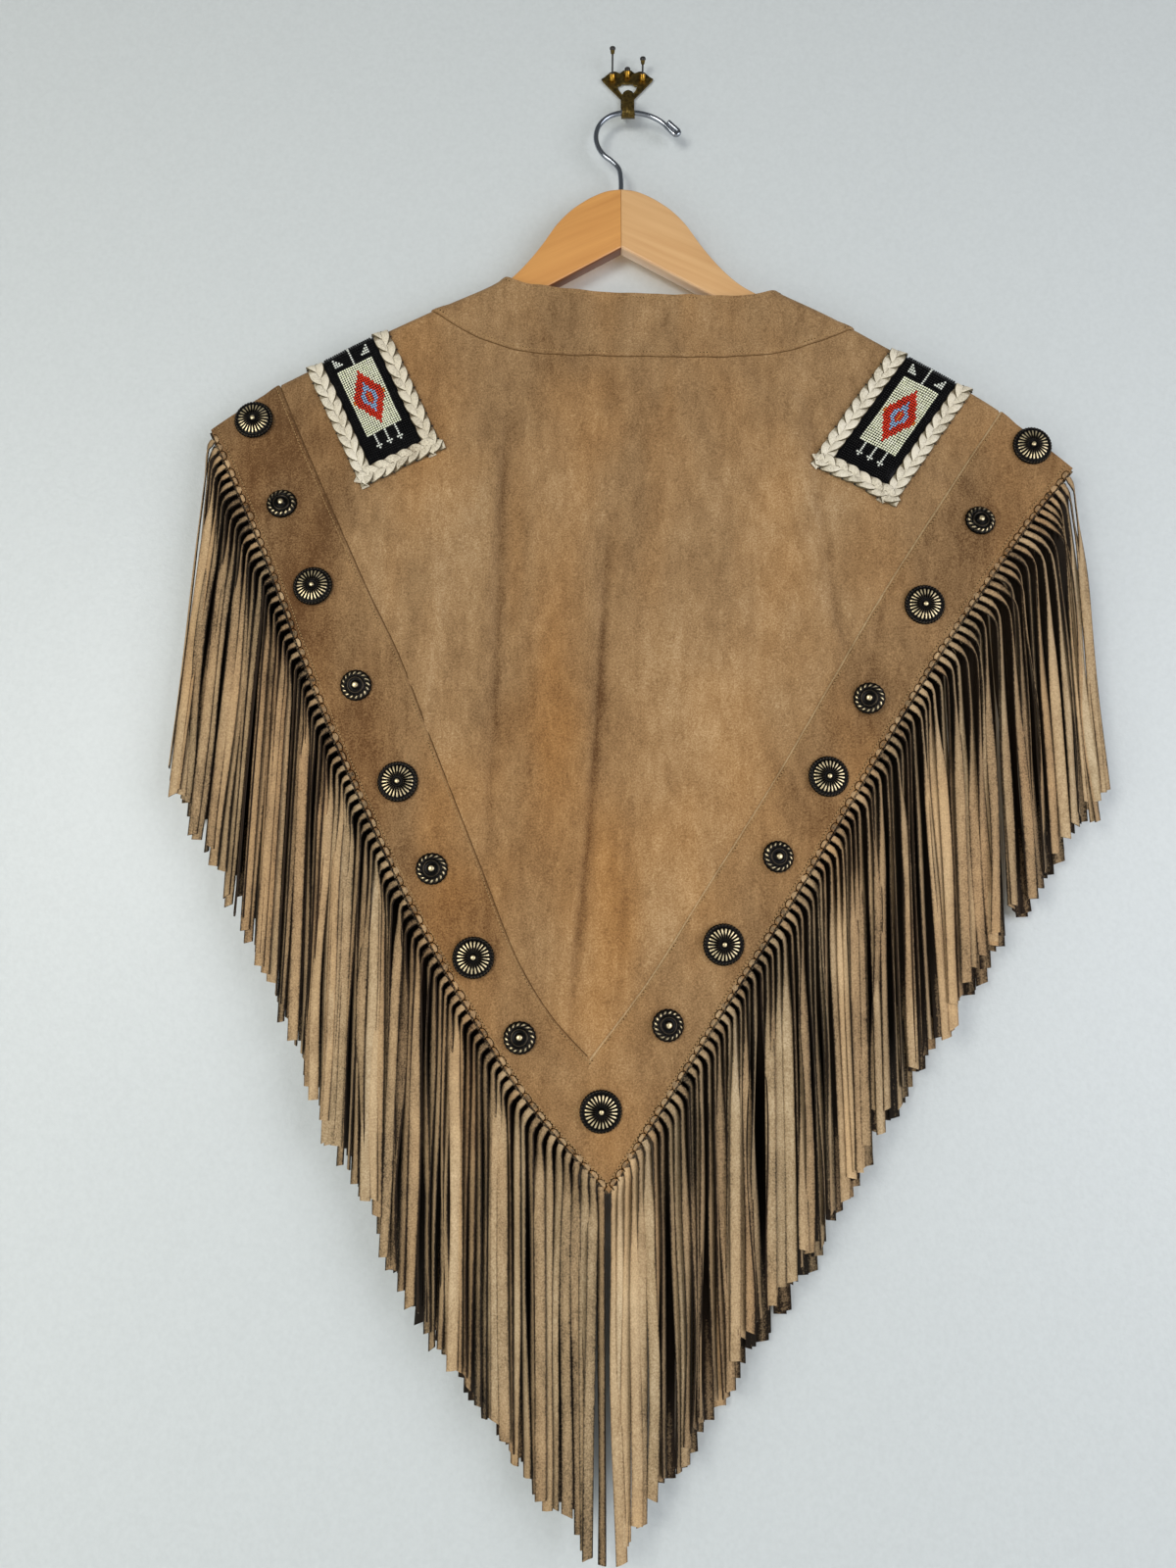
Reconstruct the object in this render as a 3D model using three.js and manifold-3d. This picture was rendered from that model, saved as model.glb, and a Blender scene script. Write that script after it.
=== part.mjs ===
// A fringed suede shrug that hangs on a wooden clothes hanger, and the nailed wall hook that carries both.
//
// Units are millimetres and +Z is up. The origin is the middle of the wall hook's back face, on the wall.
// The wall is the plane y = 0 and the room is on the -Y side. The shrug's back faces the room.
// The shrug has a back layer and a front layer that meet along the shoulders, over the hanger's arms.

import * as THREE from "three";
import { mergeVertices } from "three/addons/utils/BufferGeometryUtils.js";
import Module from "manifold-3d";

const wasm = await Module();
wasm.setup();

// ---------------------------------------------------------------- driving dimensions

const HANG_Y = -15; // plane of the hanger and of the shoulder seam
const SUEDE = 1.5; // thickness of one layer of suede
const SEAM_GAP = 0.3; // left between neighbouring pieces
const SEAM_CLEAR = 0.38; // the same on curved seams, where two pieces' facets differ
const HANGER_X = -6.5; // the hanger's middle
const HANGER_REACH = 222; // half its width
const HANGER_DEPTH = 12;
const HANGER_CHAMFER = 2.5;
const SHOULDER_HALF = 9.2; // from the shoulder seam to the outer face, over the hanger
const SHOULDER_HALF_END = 7.4; // the same past the hanger's end
const SHOULDER_DROP = 9; // height over which the cloth rounds the shoulder
const BACK_EASE = 5; // the back layer stands this much further out below the hanger
const FRONT_EASE = -1.2; // the front layer lies this much nearer to the hanger's plane, off the wall
const EASE_FROM = 25;
const EASE_TO = 190;
const OPENING_HALF = 26; // half of the gap between the fronts
const WIRE_RADIUS = 1.9;

// The shoulder line seen from the back, and the hanger's arms where it is open at the neck.
const SHOULDER_LINE = [
  { x: -372, z: -360 },
  { x: -338, z: -317 },
  { x: -312, z: -295 },
  { x: -284, z: -279 },
  { x: -250, z: -261 },
  { x: -214, z: -241 },
  { x: -163, z: -215 },
  { x: -104, z: -186 },
  { x: -84, z: -166 },
  { x: -64, z: -140 },
  { x: 51, z: -140 },
  { x: 71, z: -166 },
  { x: 96, z: -184 },
  { x: 122, z: -198 },
  { x: 163, z: -219 },
  { x: 210, z: -247 },
  { x: 245, z: -267 },
  { x: 280, z: -288 },
  { x: 314, z: -313 },
  { x: 355, z: -350 },
  { x: 388, z: -392 },
];

// The neckband on the back: its free top edge and the seam below it.
const NECK_EDGE = [
  { x: -104, z: -186 },
  { x: -86, z: -193 },
  { x: -50, z: -198.5 },
  { x: 0, z: -203 },
  { x: 60, z: -204.5 },
  { x: 100, z: -203.5 },
  { x: 122, z: -198 },
];
const NECK_SEAM = [
  { x: -163, z: -215 },
  { x: -137, z: -233 },
  { x: -113, z: -245 },
  { x: -85, z: -254 },
  { x: -50, z: -257.5 },
  { x: 40, z: -259.5 },
  { x: 108, z: -256 },
  { x: 140, z: -249 },
  { x: 164, z: -240 },
  { x: 184, z: -231.5 },
];

// The V-shaped border band from each shoulder to the point: its inner seam and its fringed outer edge.
const BAND_SEAM_LEFT = [
  { x: -284, z: -279 },
  { x: -265, z: -324 },
  { x: -235, z: -391 },
  { x: -205, z: -457 },
  { x: -180, z: -508 },
  { x: -152, z: -579 },
  { x: -116, z: -668 },
  { x: -84, z: -745 },
  { x: -59, z: -784 },
  { x: -33, z: -812 },
];
const BAND_SEAM_RIGHT = [
  { x: 299, z: -302 },
  { x: 257, z: -364 },
  { x: 199, z: -452 },
  { x: 168, z: -503 },
  { x: 108, z: -604 },
  { x: 53, z: -689 },
  { x: 10, z: -756 },
  { x: -33, z: -812 },
];
const BAND_EDGE_LEFT = [
  { x: -338, z: -317 },
  { x: -308, z: -381 },
  { x: -282, z: -440 },
  { x: -255, z: -508 },
  { x: -225, z: -579 },
  { x: -189, z: -655 },
  { x: -158, z: -716 },
  { x: -118, z: -783 },
  { x: -73, z: -848 },
  { x: -19, z: -906 },
];
const BAND_EDGE_RIGHT = [
  { x: 355, z: -350 },
  { x: 319, z: -393 },
  { x: 278, z: -449 },
  { x: 239, z: -505 },
  { x: 191, z: -580 },
  { x: 110, z: -710 },
  { x: 72, z: -767 },
  { x: 35, z: -824 },
  { x: -19, z: -906 },
];

// Soft troughs and ridges of the hanging cloth: a line from top to bottom, its depth (inwards is positive)
// and its half width.
const BACK_FOLDS = [
  { x0: -100, z0: -310, x1: -110, z1: -680, depth: 5.5, half: 11 },
  { x0: -124, z0: -330, x1: -134, z1: -600, depth: -2.5, half: 16 },
  { x0: -16, z0: -430, x1: -46, z1: -785, depth: 4.5, half: 9 },
  { x0: -52, z0: -330, x1: -66, z1: -720, depth: -2.6, half: 22 },
  { x0: 142, z0: -330, x1: 180, z1: -520, depth: 3.8, half: 11 },
  { x0: 60, z0: -420, x1: 30, z1: -740, depth: -3, half: 34 },
  { x0: -150, z0: -410, x1: -156, z1: -520, depth: -2, half: 8 },
];
const FRONT_FOLDS = [
  { x0: -150, z0: -400, x1: -120, z1: -660, depth: 2.4, half: 16 },
  { x0: 110, z0: -380, x1: 90, z1: -620, depth: 2.2, half: 18 },
];

// The front's open edges and its neckline, seen from the back like all the rest.
const FRONT_NECK_WIDTH = 44;
const FRONT_NECK_DROP = 96; // from the neckband's corner down to the opening

// Ornament.
const BEAD_HALF_WIDTH = 22;
const BEAD_END_GAP = 9; // from the strip's end to the middle of the plait across it
const BEAD_THICKNESS = 1.8;
const BRAID_CENTRE = 29.8; // from the bead strip's middle line to the plait's
const BRAID_HALF_WIDTH = 7;
const BRAID_CORNER = 9;
const BRAID_PITCH = 6.9;
const BRAID_LOW = 2.2;
const BRAID_HIGH = 4.2;
const PATCH_LIFT = 0.75;
// end: from the shoulder line down each layer to the middle of the plait across the strip's end.
const PATCHES = [
  { name: "left", x: -229.8, across: 0.875, lean: 0.426, slope: 1.14, end: 108.5 },
  { name: "right", x: 245.1, across: 0.866, lean: -0.573, slope: 1.15, end: 117.5 },
];
const LARGE_CONCHO = 15.5; // radius
const SMALL_CONCHO = 12;
const CONCHO_SIDES = 12;
const CONCHO_STANDOFF = 0.5;
const CONCHOS = [
  { x: -302, z: -312, radius: LARGE_CONCHO },
  { x: -276, z: -384, radius: SMALL_CONCHO },
  { x: -248, z: -453, radius: LARGE_CONCHO },
  { x: -212, z: -532, radius: SMALL_CONCHO },
  { x: -178, z: -607, radius: LARGE_CONCHO },
  { x: -151, z: -673, radius: SMALL_CONCHO },
  { x: -119, z: -739, radius: LARGE_CONCHO },
  { x: -84, z: -797, radius: SMALL_CONCHO },
  { x: -25, z: -849, radius: LARGE_CONCHO },
  { x: 24, z: -788, radius: SMALL_CONCHO },
  { x: 66, z: -729, radius: LARGE_CONCHO },
  { x: 108, z: -664, radius: SMALL_CONCHO },
  { x: 148, z: -603, radius: LARGE_CONCHO },
  { x: 182, z: -542, radius: SMALL_CONCHO },
  { x: 227, z: -468, radius: LARGE_CONCHO },
  { x: 275, z: -398, radius: SMALL_CONCHO },
  { x: 321, z: -334, radius: LARGE_CONCHO },
];

// Fringe. The bow is the length over which a strand turns from square to the edge to straight down.
const STRAND_BOW = { left: 18, right: 11 };
const FRINGE_START = 0.012; // shares of the edge left plain at its two ends
const FRINGE_END = 0.003;
const STRAND_SHARE = 0.59; // of the pitch between strands
const STRIP_WIDTH = 6; // the uncut strip that the strands hang from
const STRAND_TWIST = 0.62; // radians
const STRAND_SECTIONS = [11, 38, 1]; // distances along the strand; the last is the whole length
const FRINGES = [
  { side: "left", layer: "back", count: 52, length: 262, tipLength: 246, until: 1 },
  { side: "right", layer: "back", count: 52, length: 250, tipLength: 244, until: 1 },
  { side: "left", layer: "front", count: 34, length: 260, tipLength: 246, until: 0.955 },
  { side: "right", layer: "front", count: 34, length: 266, tipLength: 262, until: 0.91 },
];

// ---------------------------------------------------------------- finishes

const finish = (colour, roughness, metalness = 0) =>
  new THREE.MeshStandardMaterial({ color: colour, roughness, metalness, side: THREE.DoubleSide });
const suede = finish(0x9a7c56, 0.95);
const fringeSuede = finish(0xa88a63, 0.95);
const beads = finish(0x23221f, 0.35);
const lace = finish(0xd8cfb9, 0.8);
const antiqueMetal = finish(0x4a4232, 0.4, 0.9);
const wood = finish(0xc98b4a, 0.45);
const chrome = finish(0xb9bcc2, 0.15, 1);
const brass = finish(0x6f5a2a, 0.4, 0.9);

// ---------------------------------------------------------------- small tools

const clamp = (value, low, high) => Math.min(Math.max(value, low), high);

function smooth(value, from, to) {
  const t = clamp((value - from) / (to - from), 0, 1);
  return t * t * (3 - 2 * t);
}

// The z of a table's line at x; its end stretches run on past the table.
function lineZ(rows, x) {
  const ordered = rows[0].x < rows[rows.length - 1].x ? rows : [...rows].reverse();
  let i = 0;
  while (i < ordered.length - 2 && x > ordered[i + 1].x) i++;
  const [a, b] = [ordered[i], ordered[i + 1]];
  return a.z + ((b.z - a.z) * (x - a.x)) / (b.x - a.x);
}

// A table's line as a smooth curve in the plane of x and z.
const curves = new Map();
function curveOf(rows) {
  if (!curves.has(rows)) {
    const points = rows.map((row) => new THREE.Vector3(row.x, 0, row.z));
    const curve = new THREE.CatmullRomCurve3(points, false, "centripetal");
    curve.arcLengthDivisions = 400;
    curves.set(rows, curve);
  }
  return curves.get(rows);
}

// The share of a table's curve at which it reaches x.
function shareAtX(rows, x) {
  const curve = curveOf(rows);
  const rising = rows[0].x < rows[rows.length - 1].x;
  let [low, high] = [0, 1];
  for (let i = 0; i < 40; i++) {
    const middle = (low + high) / 2;
    if (curve.getPointAt(middle).x < x === rising) low = middle;
    else high = middle;
  }
  return (low + high) / 2;
}

// A table's curve cut into straight stretches at the given shares, so that the pieces on its two sides match.
function stretched(rows, shares) {
  const points = shares.map((share) => curveOf(rows).getPointAt(share));
  const at = (share) => {
    const wanted = clamp(share, 0, 1);
    let i = 0;
    while (i < shares.length - 2 && wanted > shares[i + 1]) i++;
    return points[i].clone().lerp(points[i + 1], (wanted - shares[i]) / (shares[i + 1] - shares[i]));
  };
  return { rows, shares, points, at };
}

// How far a piece's edge keeps from such a line, measured along Z where the line slopes.
function clearanceZ(points, x) {
  const slope = (step) => Math.abs((lineZ(points, x + step) - lineZ(points, x)) / step);
  return SEAM_CLEAR * Math.hypot(1, Math.max(slope(0.01), slope(-0.01)));
}

// A closed mesh from its corner points and triangles, with its faces turned outwards.
function closedMesh(corners, triangles) {
  let volume = 0;
  for (const [a, b, c] of triangles) {
    volume += corners[a].dot(new THREE.Vector3().crossVectors(corners[b], corners[c]));
  }
  const index = triangles.flatMap(([a, b, c]) => (volume > 0 ? [a, b, c] : [a, c, b]));
  const geometry = new THREE.BufferGeometry();
  geometry.setAttribute("position", new THREE.Float32BufferAttribute(corners.flatMap((p) => p.toArray()), 3));
  geometry.setIndex(index);
  return geometry;
}

function toSolid(geometry) {
  const bare = geometry.clone();
  bare.deleteAttribute("normal");
  bare.deleteAttribute("uv");
  const merged = mergeVertices(bare, 1e-4);
  return new wasm.Manifold(
    new wasm.Mesh({
      numProp: 3,
      vertProperties: new Float32Array(merged.attributes.position.array),
      triVerts: new Uint32Array(merged.index.array),
    }),
  );
}

function fromSolid(solid) {
  const mesh = solid.getMesh();
  const geometry = new THREE.BufferGeometry();
  geometry.setAttribute("position", new THREE.BufferAttribute(new Float32Array(mesh.vertProperties), 3));
  geometry.setIndex([...mesh.triVerts]);
  return geometry;
}

const object = new THREE.Group();
function addPiece(name, geometry, material) {
  const mesh = new THREE.Mesh(geometry, material);
  mesh.name = name;
  object.add(mesh);
  return mesh;
}

// ---------------------------------------------------------------- the two layers of cloth

const shoulderZ = (x) => lineZ(SHOULDER_LINE, x);

function foldDepth(folds, x, z) {
  let total = 0;
  for (const fold of folds) {
    const t = (fold.z0 - z) / (fold.z0 - fold.z1);
    const middle = fold.x0 + (fold.x1 - fold.x0) * t;
    const fade = smooth(t, -0.12, 0.22) * (1 - smooth(t, 0.72, 1.12));
    total += fold.depth * fade * Math.exp(-(((x - middle) / fold.half) ** 2));
  }
  return total;
}

// A point on a layer's outer face, at x and at a drop below the shoulder line.
function layerPoint(layer, x, drop) {
  const room = layer === "back" ? -1 : 1;
  const z = shoulderZ(x) - drop;
  const pastHanger = smooth(Math.abs(x - HANGER_X), HANGER_REACH + 2, HANGER_REACH + 60);
  const half = SHOULDER_HALF + (SHOULDER_HALF_END - SHOULDER_HALF) * pastHanger;
  const round = 1 - clamp(drop / SHOULDER_DROP, 0, 1);
  const ease = (layer === "back" ? BACK_EASE : FRONT_EASE) * smooth(drop, EASE_FROM, EASE_TO);
  const folds = foldDepth(layer === "back" ? BACK_FOLDS : FRONT_FOLDS, x, z);
  const out = SEAM_GAP / 2 + half * Math.sqrt(1 - round * round) + ease - folds;
  return new THREE.Vector3(x, HANG_Y + room * out, z);
}

// The same point moved out of the cloth by a lift, or into it by a negative one.
function lifted(layer, x, drop, lift) {
  const step = 0.002;
  const low = Math.max(drop - step, 0);
  const here = layerPoint(layer, x, drop);
  const acrossX = layerPoint(layer, x + step, drop).sub(layerPoint(layer, x - step, drop));
  const down = layerPoint(layer, x, drop + step).sub(layerPoint(layer, x, low));
  const normal = new THREE.Vector3().crossVectors(acrossX, down).normalize();
  const outward = layer === "back" ? -1 : 1;
  if (normal.y * outward < 0 || (Math.abs(normal.y) < 1e-6 && normal.z < 0)) normal.negate();
  return here.addScaledVector(normal, lift);
}
const onLayer = (layer, x, z, lift) => lifted(layer, x, Math.max(shoulderZ(x) - z, 0), lift);

// A wall of cloth: place(u, v) gives x and z of its outer face; the other lies one thickness further in.
function clothWall(layer, shares, rows, place, thickness = SUEDE, lift = 0) {
  const corners = [];
  for (const face of [lift, lift - thickness]) {
    for (const u of shares) {
      for (const v of rows) {
        const { x, z } = place(u, v);
        corners.push(onLayer(layer, x, z, face));
      }
    }
  }
  const columns = shares.length;
  const depth = rows.length;
  const at = (face, i, j) => face * columns * depth + i * depth + j;
  const triangles = [];
  const quad = (a, b, c, d) => triangles.push([a, b, c], [a, c, d]);
  for (let i = 0; i < columns - 1; i++) {
    for (let j = 0; j < depth - 1; j++) {
      quad(at(0, i, j), at(0, i + 1, j), at(0, i + 1, j + 1), at(0, i, j + 1));
      quad(at(1, i, j), at(1, i, j + 1), at(1, i + 1, j + 1), at(1, i + 1, j));
    }
    quad(at(0, i, 0), at(1, i, 0), at(1, i + 1, 0), at(0, i + 1, 0));
    quad(at(0, i, depth - 1), at(0, i + 1, depth - 1), at(1, i + 1, depth - 1), at(1, i, depth - 1));
  }
  for (let j = 0; j < depth - 1; j++) {
    quad(at(0, 0, j), at(0, 0, j + 1), at(1, 0, j + 1), at(1, 0, j));
    const last = columns - 1;
    quad(at(0, last, j), at(1, last, j), at(1, last, j + 1), at(0, last, j + 1));
  }
  return closedMesh(corners, triangles);
}

// Shares from 0 to 1; a power above 1 sets them closer together at the start.
const spread = (count, power = 1) => Array.from({ length: count + 1 }, (_, i) => (i / count) ** power);
const BODY_ROWS = spread(12, 2.2);

// ---------------------------------------------------------------- back pieces

const TIP = BAND_SEAM_LEFT[BAND_SEAM_LEFT.length - 1];
const NECK_SHARES = [
  0, 0.02, 0.05, 0.1, 0.17, 0.25, 0.34, 0.43, 0.52, 0.61, 0.7, 0.78, 0.85, 0.91, 0.955, 0.985, 1,
];
const SIDE_COLUMNS_LEFT = [-282.4, -279, -273, -264, -252, -239, -226, -213, -200, -188, -176];
const SIDE_COLUMNS_RIGHT = [196, 208, 220, 232, 244, 256, 268, 279, 288, 294, 297.2];
const EXTRA_COLUMNS = [-118, -100, -47, -12, 24, 60, 96];
const ascending = (list) => [...list].sort((a, b) => a - b);

// The lines on which a layer's pieces meet; its panel's columns give the band's sections.
function seamsOf(columns) {
  const shares = (rows) => {
    const ends = [Math.min(rows[0].x, TIP.x), Math.max(rows[0].x, TIP.x)];
    const within = columns.filter((x) => x > ends[0] && x < ends[1]);
    return ascending([0, ...within.map((x) => shareAtX(rows, x)), 1]);
  };
  const [left, right] = [shares(BAND_SEAM_LEFT), shares(BAND_SEAM_RIGHT)];
  return {
    left: { seam: stretched(BAND_SEAM_LEFT, left), edge: stretched(BAND_EDGE_LEFT, left) },
    right: { seam: stretched(BAND_SEAM_RIGHT, right), edge: stretched(BAND_EDGE_RIGHT, right) },
  };
}

// A panel hangs from the shoulder, or from a neckline under it, down to the band's seam.
function clothPanel(layer, columns, rows, neckline, seams) {
  const [low, high] = [neckline[0].x, neckline[neckline.length - 1].x].sort((a, b) => a - b);
  const place = (x, v) => {
    const underNeck = x >= low - 1e-6 && x <= high + 1e-6;
    const hung = underNeck ? lineZ(neckline, x) - clearanceZ(neckline, x) : shoulderZ(x);
    const top = Math.min(hung, shoulderZ(x));
    const seam = (x < TIP.x ? seams.left : seams.right).seam.points;
    const bottom = lineZ(seam, x) + clearanceZ(seam, x);
    return { x, z: top + (bottom - top) * v };
  };
  return clothWall(layer, columns, rows, place);
}

const neckEdge = stretched(NECK_EDGE, NECK_SHARES);
const neckSeam = stretched(NECK_SEAM, NECK_SHARES);
const backColumns = ascending([
  ...SIDE_COLUMNS_LEFT,
  ...neckSeam.points.map((p) => p.x),
  TIP.x,
  ...EXTRA_COLUMNS,
  ...SIDE_COLUMNS_RIGHT,
]);
const backSeams = seamsOf(backColumns);

const backPanel = () => clothPanel("back", backColumns, BODY_ROWS, neckSeam.points, backSeams);

// The band's sections run from a shoulder to the point; the V is both halves in one piece.
function bandPlace({ seam, edge }, share, v) {
  const point = seam.at(share).lerp(edge.at(share), v);
  return { x: point.x, z: share === 0 ? shoulderZ(point.x) : Math.min(point.z, shoulderZ(point.x)) };
}

function backBand() {
  const { left, right } = backSeams;
  const rightStations = ascending(right.seam.shares.map((s) => 1 - s));
  const stations = [...left.seam.shares.map((s) => s - 1), ...rightStations.slice(1)];
  const place = (u, v) => (u <= 0 ? bandPlace(left, 1 + u, v) : bandPlace(right, 1 - u, v));
  return clothWall("back", stations, [0, 0.5, 1], place);
}

function backNeckband() {
  const place = (u, v) => {
    const point = neckEdge.at(u).lerp(neckSeam.at(u), v);
    return { x: point.x, z: u === 0 || u === 1 ? shoulderZ(point.x) : Math.min(point.z, shoulderZ(point.x)) };
  };
  return clothWall("back", NECK_SHARES, [0, 0.25, 0.5, 0.75, 1], place);
}

// ---------------------------------------------------------------- front pieces

// Each front is laid out as the back is, from its shoulder to the open edge at OPENING_HALF from the middle.
const NECKLINE_SHARES = [0, 0.012, 0.035, 0.08, 0.16, 0.26, 0.38, 0.52, 0.68, 0.84, 1];
const frontSides = [
  {
    name: "left",
    corner: NECK_EDGE[0],
    seamStart: NECK_SEAM[0],
    opening: HANGER_X - OPENING_HALF - 20,
    until: 0.955,
    columns: SIDE_COLUMNS_LEFT.filter((_, i) => i < 4 || i % 2 === 0),
  },
  {
    name: "right",
    corner: NECK_EDGE[NECK_EDGE.length - 1],
    seamStart: NECK_SEAM[NECK_SEAM.length - 1],
    opening: HANGER_X + OPENING_HALF,
    until: 0.91,
    columns: SIDE_COLUMNS_RIGHT.filter((_, i) => i > 6 || i % 2 === 0),
  },
];

// The front neckline runs from the shoulder down to the opening: band 0 is its free edge, 1 its seam.
function necklinePoint(side, share, band) {
  const from = band === 0 ? side.corner : side.seamStart;
  const bottom = side.corner.z - FRONT_NECK_DROP - band * FRONT_NECK_WIDTH;
  return {
    x: from.x + (side.opening - from.x) * share,
    z: bottom + (from.z - bottom) * (1 - share) ** 2,
  };
}

for (const side of frontSides) {
  side.neckline = NECKLINE_SHARES.map((share) => necklinePoint(side, share, 1));
  side.panelColumns = ascending([...side.columns, ...side.neckline.map((p) => p.x)]);
}
const frontSeams = seamsOf(frontSides.flatMap((side) => side.panelColumns));
const FRONT_ROWS = BODY_ROWS.filter((_, i) => i < 4 || i % 2 === 0);

const frontPanel = (side) => clothPanel("front", side.panelColumns, FRONT_ROWS, side.neckline, frontSeams);

function frontNeckband(side) {
  const place = (u, v) => {
    const edge = necklinePoint(side, u, 0);
    const seam = necklinePoint(side, u, 1);
    const x = edge.x + (seam.x - edge.x) * v;
    const z = edge.z + (seam.z - edge.z) * v;
    return { x, z: u === 0 ? shoulderZ(x) : Math.min(z, shoulderZ(x)) };
  };
  return clothWall("front", NECKLINE_SHARES, [0, 0.25, 0.5, 0.75, 1], place);
}

function frontBand(side) {
  const lines = frontSeams[side.name];
  const stations = [...lines.seam.shares.filter((s) => s < side.until - 0.01), side.until];
  return clothWall("front", stations, [0, 0.5, 1], (u, v) => bandPlace(lines, u, v));
}

// ---------------------------------------------------------------- fringe

// One strand's line in the plane of x and z: it leaves square to the edge and bends to hang straight down.
function strandLine(root, square, length, bow) {
  const start = Math.atan2(square.x, -square.z);
  const points = [];
  const steps = 60;
  let { x, z } = root;
  for (let i = 0; i <= steps; i++) {
    const distance = (i / steps) * length;
    const angle = start * Math.exp(-distance / bow);
    points.push({ x, z, angle, distance });
    x += (Math.sin(angle) * length) / steps;
    z -= (Math.cos(angle) * length) / steps;
  }
  return points;
}

// A comb in one piece: a narrow strip along the edge, and strands drawn out of its own cells and hung down.
function fringe({ side, layer, count, length, tipLength, until }) {
  const { edge } = (layer === "back" ? backSeams : frontSeams)[side];
  const turn = side === "left" ? -1 : 1;
  const corners = [];
  const triangles = [];
  const add = (point) => corners.push(point) - 1;
  const quad = (a, b, c, d) => triangles.push([a, b, c], [a, c, d]);
  const room = layer === "back" ? -1 : 1;
  const squareAt = (share) => {
    const tangent = curveOf(edge.rows).getTangentAt(clamp(share, 0, 1));
    return new THREE.Vector3(turn * Math.abs(tangent.z), 0, -Math.abs(tangent.x));
  };
  // One ring of the strip is four corners: outer top, outer bottom, inner bottom, inner top.
  const ring = (share) => {
    const line = edge.at(share);
    const square = squareAt(share);
    const top = line.clone().addScaledVector(square, SEAM_CLEAR);
    const bottom = line.clone().addScaledVector(square, STRIP_WIDTH);
    const ids = [top, bottom].map((p) => add(onLayer(layer, p.x, p.z, 0)));
    ids.push(...[bottom, top].map((p) => add(onLayer(layer, p.x, p.z, -SUEDE))));
    return ids;
  };
  const shares = [FRINGE_START];
  const cell = (until - FRINGE_END - FRINGE_START) / count;
  for (let i = 0; i < count; i++) {
    const start = FRINGE_START + cell * (i + 0.2);
    shares.push(start, start + cell * STRAND_SHARE);
  }
  shares.push(until - FRINGE_END);
  const rings = shares.map(ring);
  rings.forEach((a, i) => {
    if (i === rings.length - 1) return;
    const b = rings[i + 1];
    quad(a[0], b[0], b[1], a[1]);
    quad(a[2], b[2], b[3], a[3]);
    quad(a[3], b[3], b[0], a[0]);
    const rootsStrand = i % 2 === 1;
    if (rootsStrand) strand(a, b, (shares[i] + shares[i + 1]) / 2, (i - 1) / 2);
    else quad(a[1], b[1], b[2], a[2]);
  });
  quad(rings[0][0], rings[0][1], rings[0][2], rings[0][3]);
  const end = rings[rings.length - 1];
  quad(end[3], end[2], end[1], end[0]);

  function strand(a, b, share, number) {
    const middle = corners[a[1]].clone().add(corners[b[1]]).multiplyScalar(0.5);
    const width = corners[a[1]].distanceTo(corners[b[1]]);
    const square = squareAt(share);
    const calm = 1 - 0.8 * smooth(share / until, 0.8, 1);
    square.x *= calm;
    square.normalize();
    const own = (length + (tipLength - length) * share) * (1 + 0.015 * Math.sin(number * 2.4));
    const line = strandLine(middle, square, own, STRAND_BOW[side]);
    let before = [a[1], b[1], b[2], a[2]];
    for (const section of STRAND_SECTIONS) {
      const distance = section === 1 ? own : section;
      const at = line.reduce((best, p) =>
        Math.abs(p.distance - distance) < Math.abs(best.distance - distance) ? p : best,
      );
      const twist = turn * room * STRAND_TWIST * smooth(distance, 0, 45);
      const flat = new THREE.Vector3(Math.cos(at.angle), 0, Math.sin(at.angle));
      const out = new THREE.Vector3(0, room, 0);
      const across = flat.clone().multiplyScalar(Math.cos(twist)).addScaledVector(out, Math.sin(twist));
      const proud = flat.clone().multiplyScalar(-Math.sin(twist)).addScaledVector(out, Math.cos(twist));
      if (across.dot(corners[b[1]].clone().sub(corners[a[1]])) < 0) across.negate();
      const hang = layer === "back" ? 1.5 * smooth(distance, 0, 60) : -0.5 * smooth(distance, 0, 60);
      const centre = new THREE.Vector3(at.x, middle.y - (room * SUEDE) / 2 + room * hang, at.z);
      const place = (hand, face) =>
        centre
          .clone()
          .addScaledVector(across, (hand * width) / 2)
          .addScaledVector(proud, (face * SUEDE) / 2);
      const ids = [place(-1, 1), place(1, 1), place(1, -1), place(-1, -1)].map(add);
      for (let k = 0; k < 4; k++) {
        const next = (k + 1) % 4;
        quad(before[k], before[next], ids[next], ids[k]);
      }
      before = ids;
    }
    quad(before[0], before[1], before[2], before[3]);
  }
  return closedMesh(corners, triangles);
}

// ---------------------------------------------------------------- beaded strips, plaited frames and conchos

// A patch runs over the shoulder: p goes across it, and q down it, on the back above 0, on the front below 0.
function patchPoint(patch, p, q, lift) {
  const x = patch.x + patch.across * p + patch.lean * Math.abs(q);
  return lifted(q >= 0 ? "back" : "front", x, patch.slope * Math.abs(q), lift);
}
const NEAR_SHOULDER = [0, 1.2, 3.2, 6.5, 11];

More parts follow.
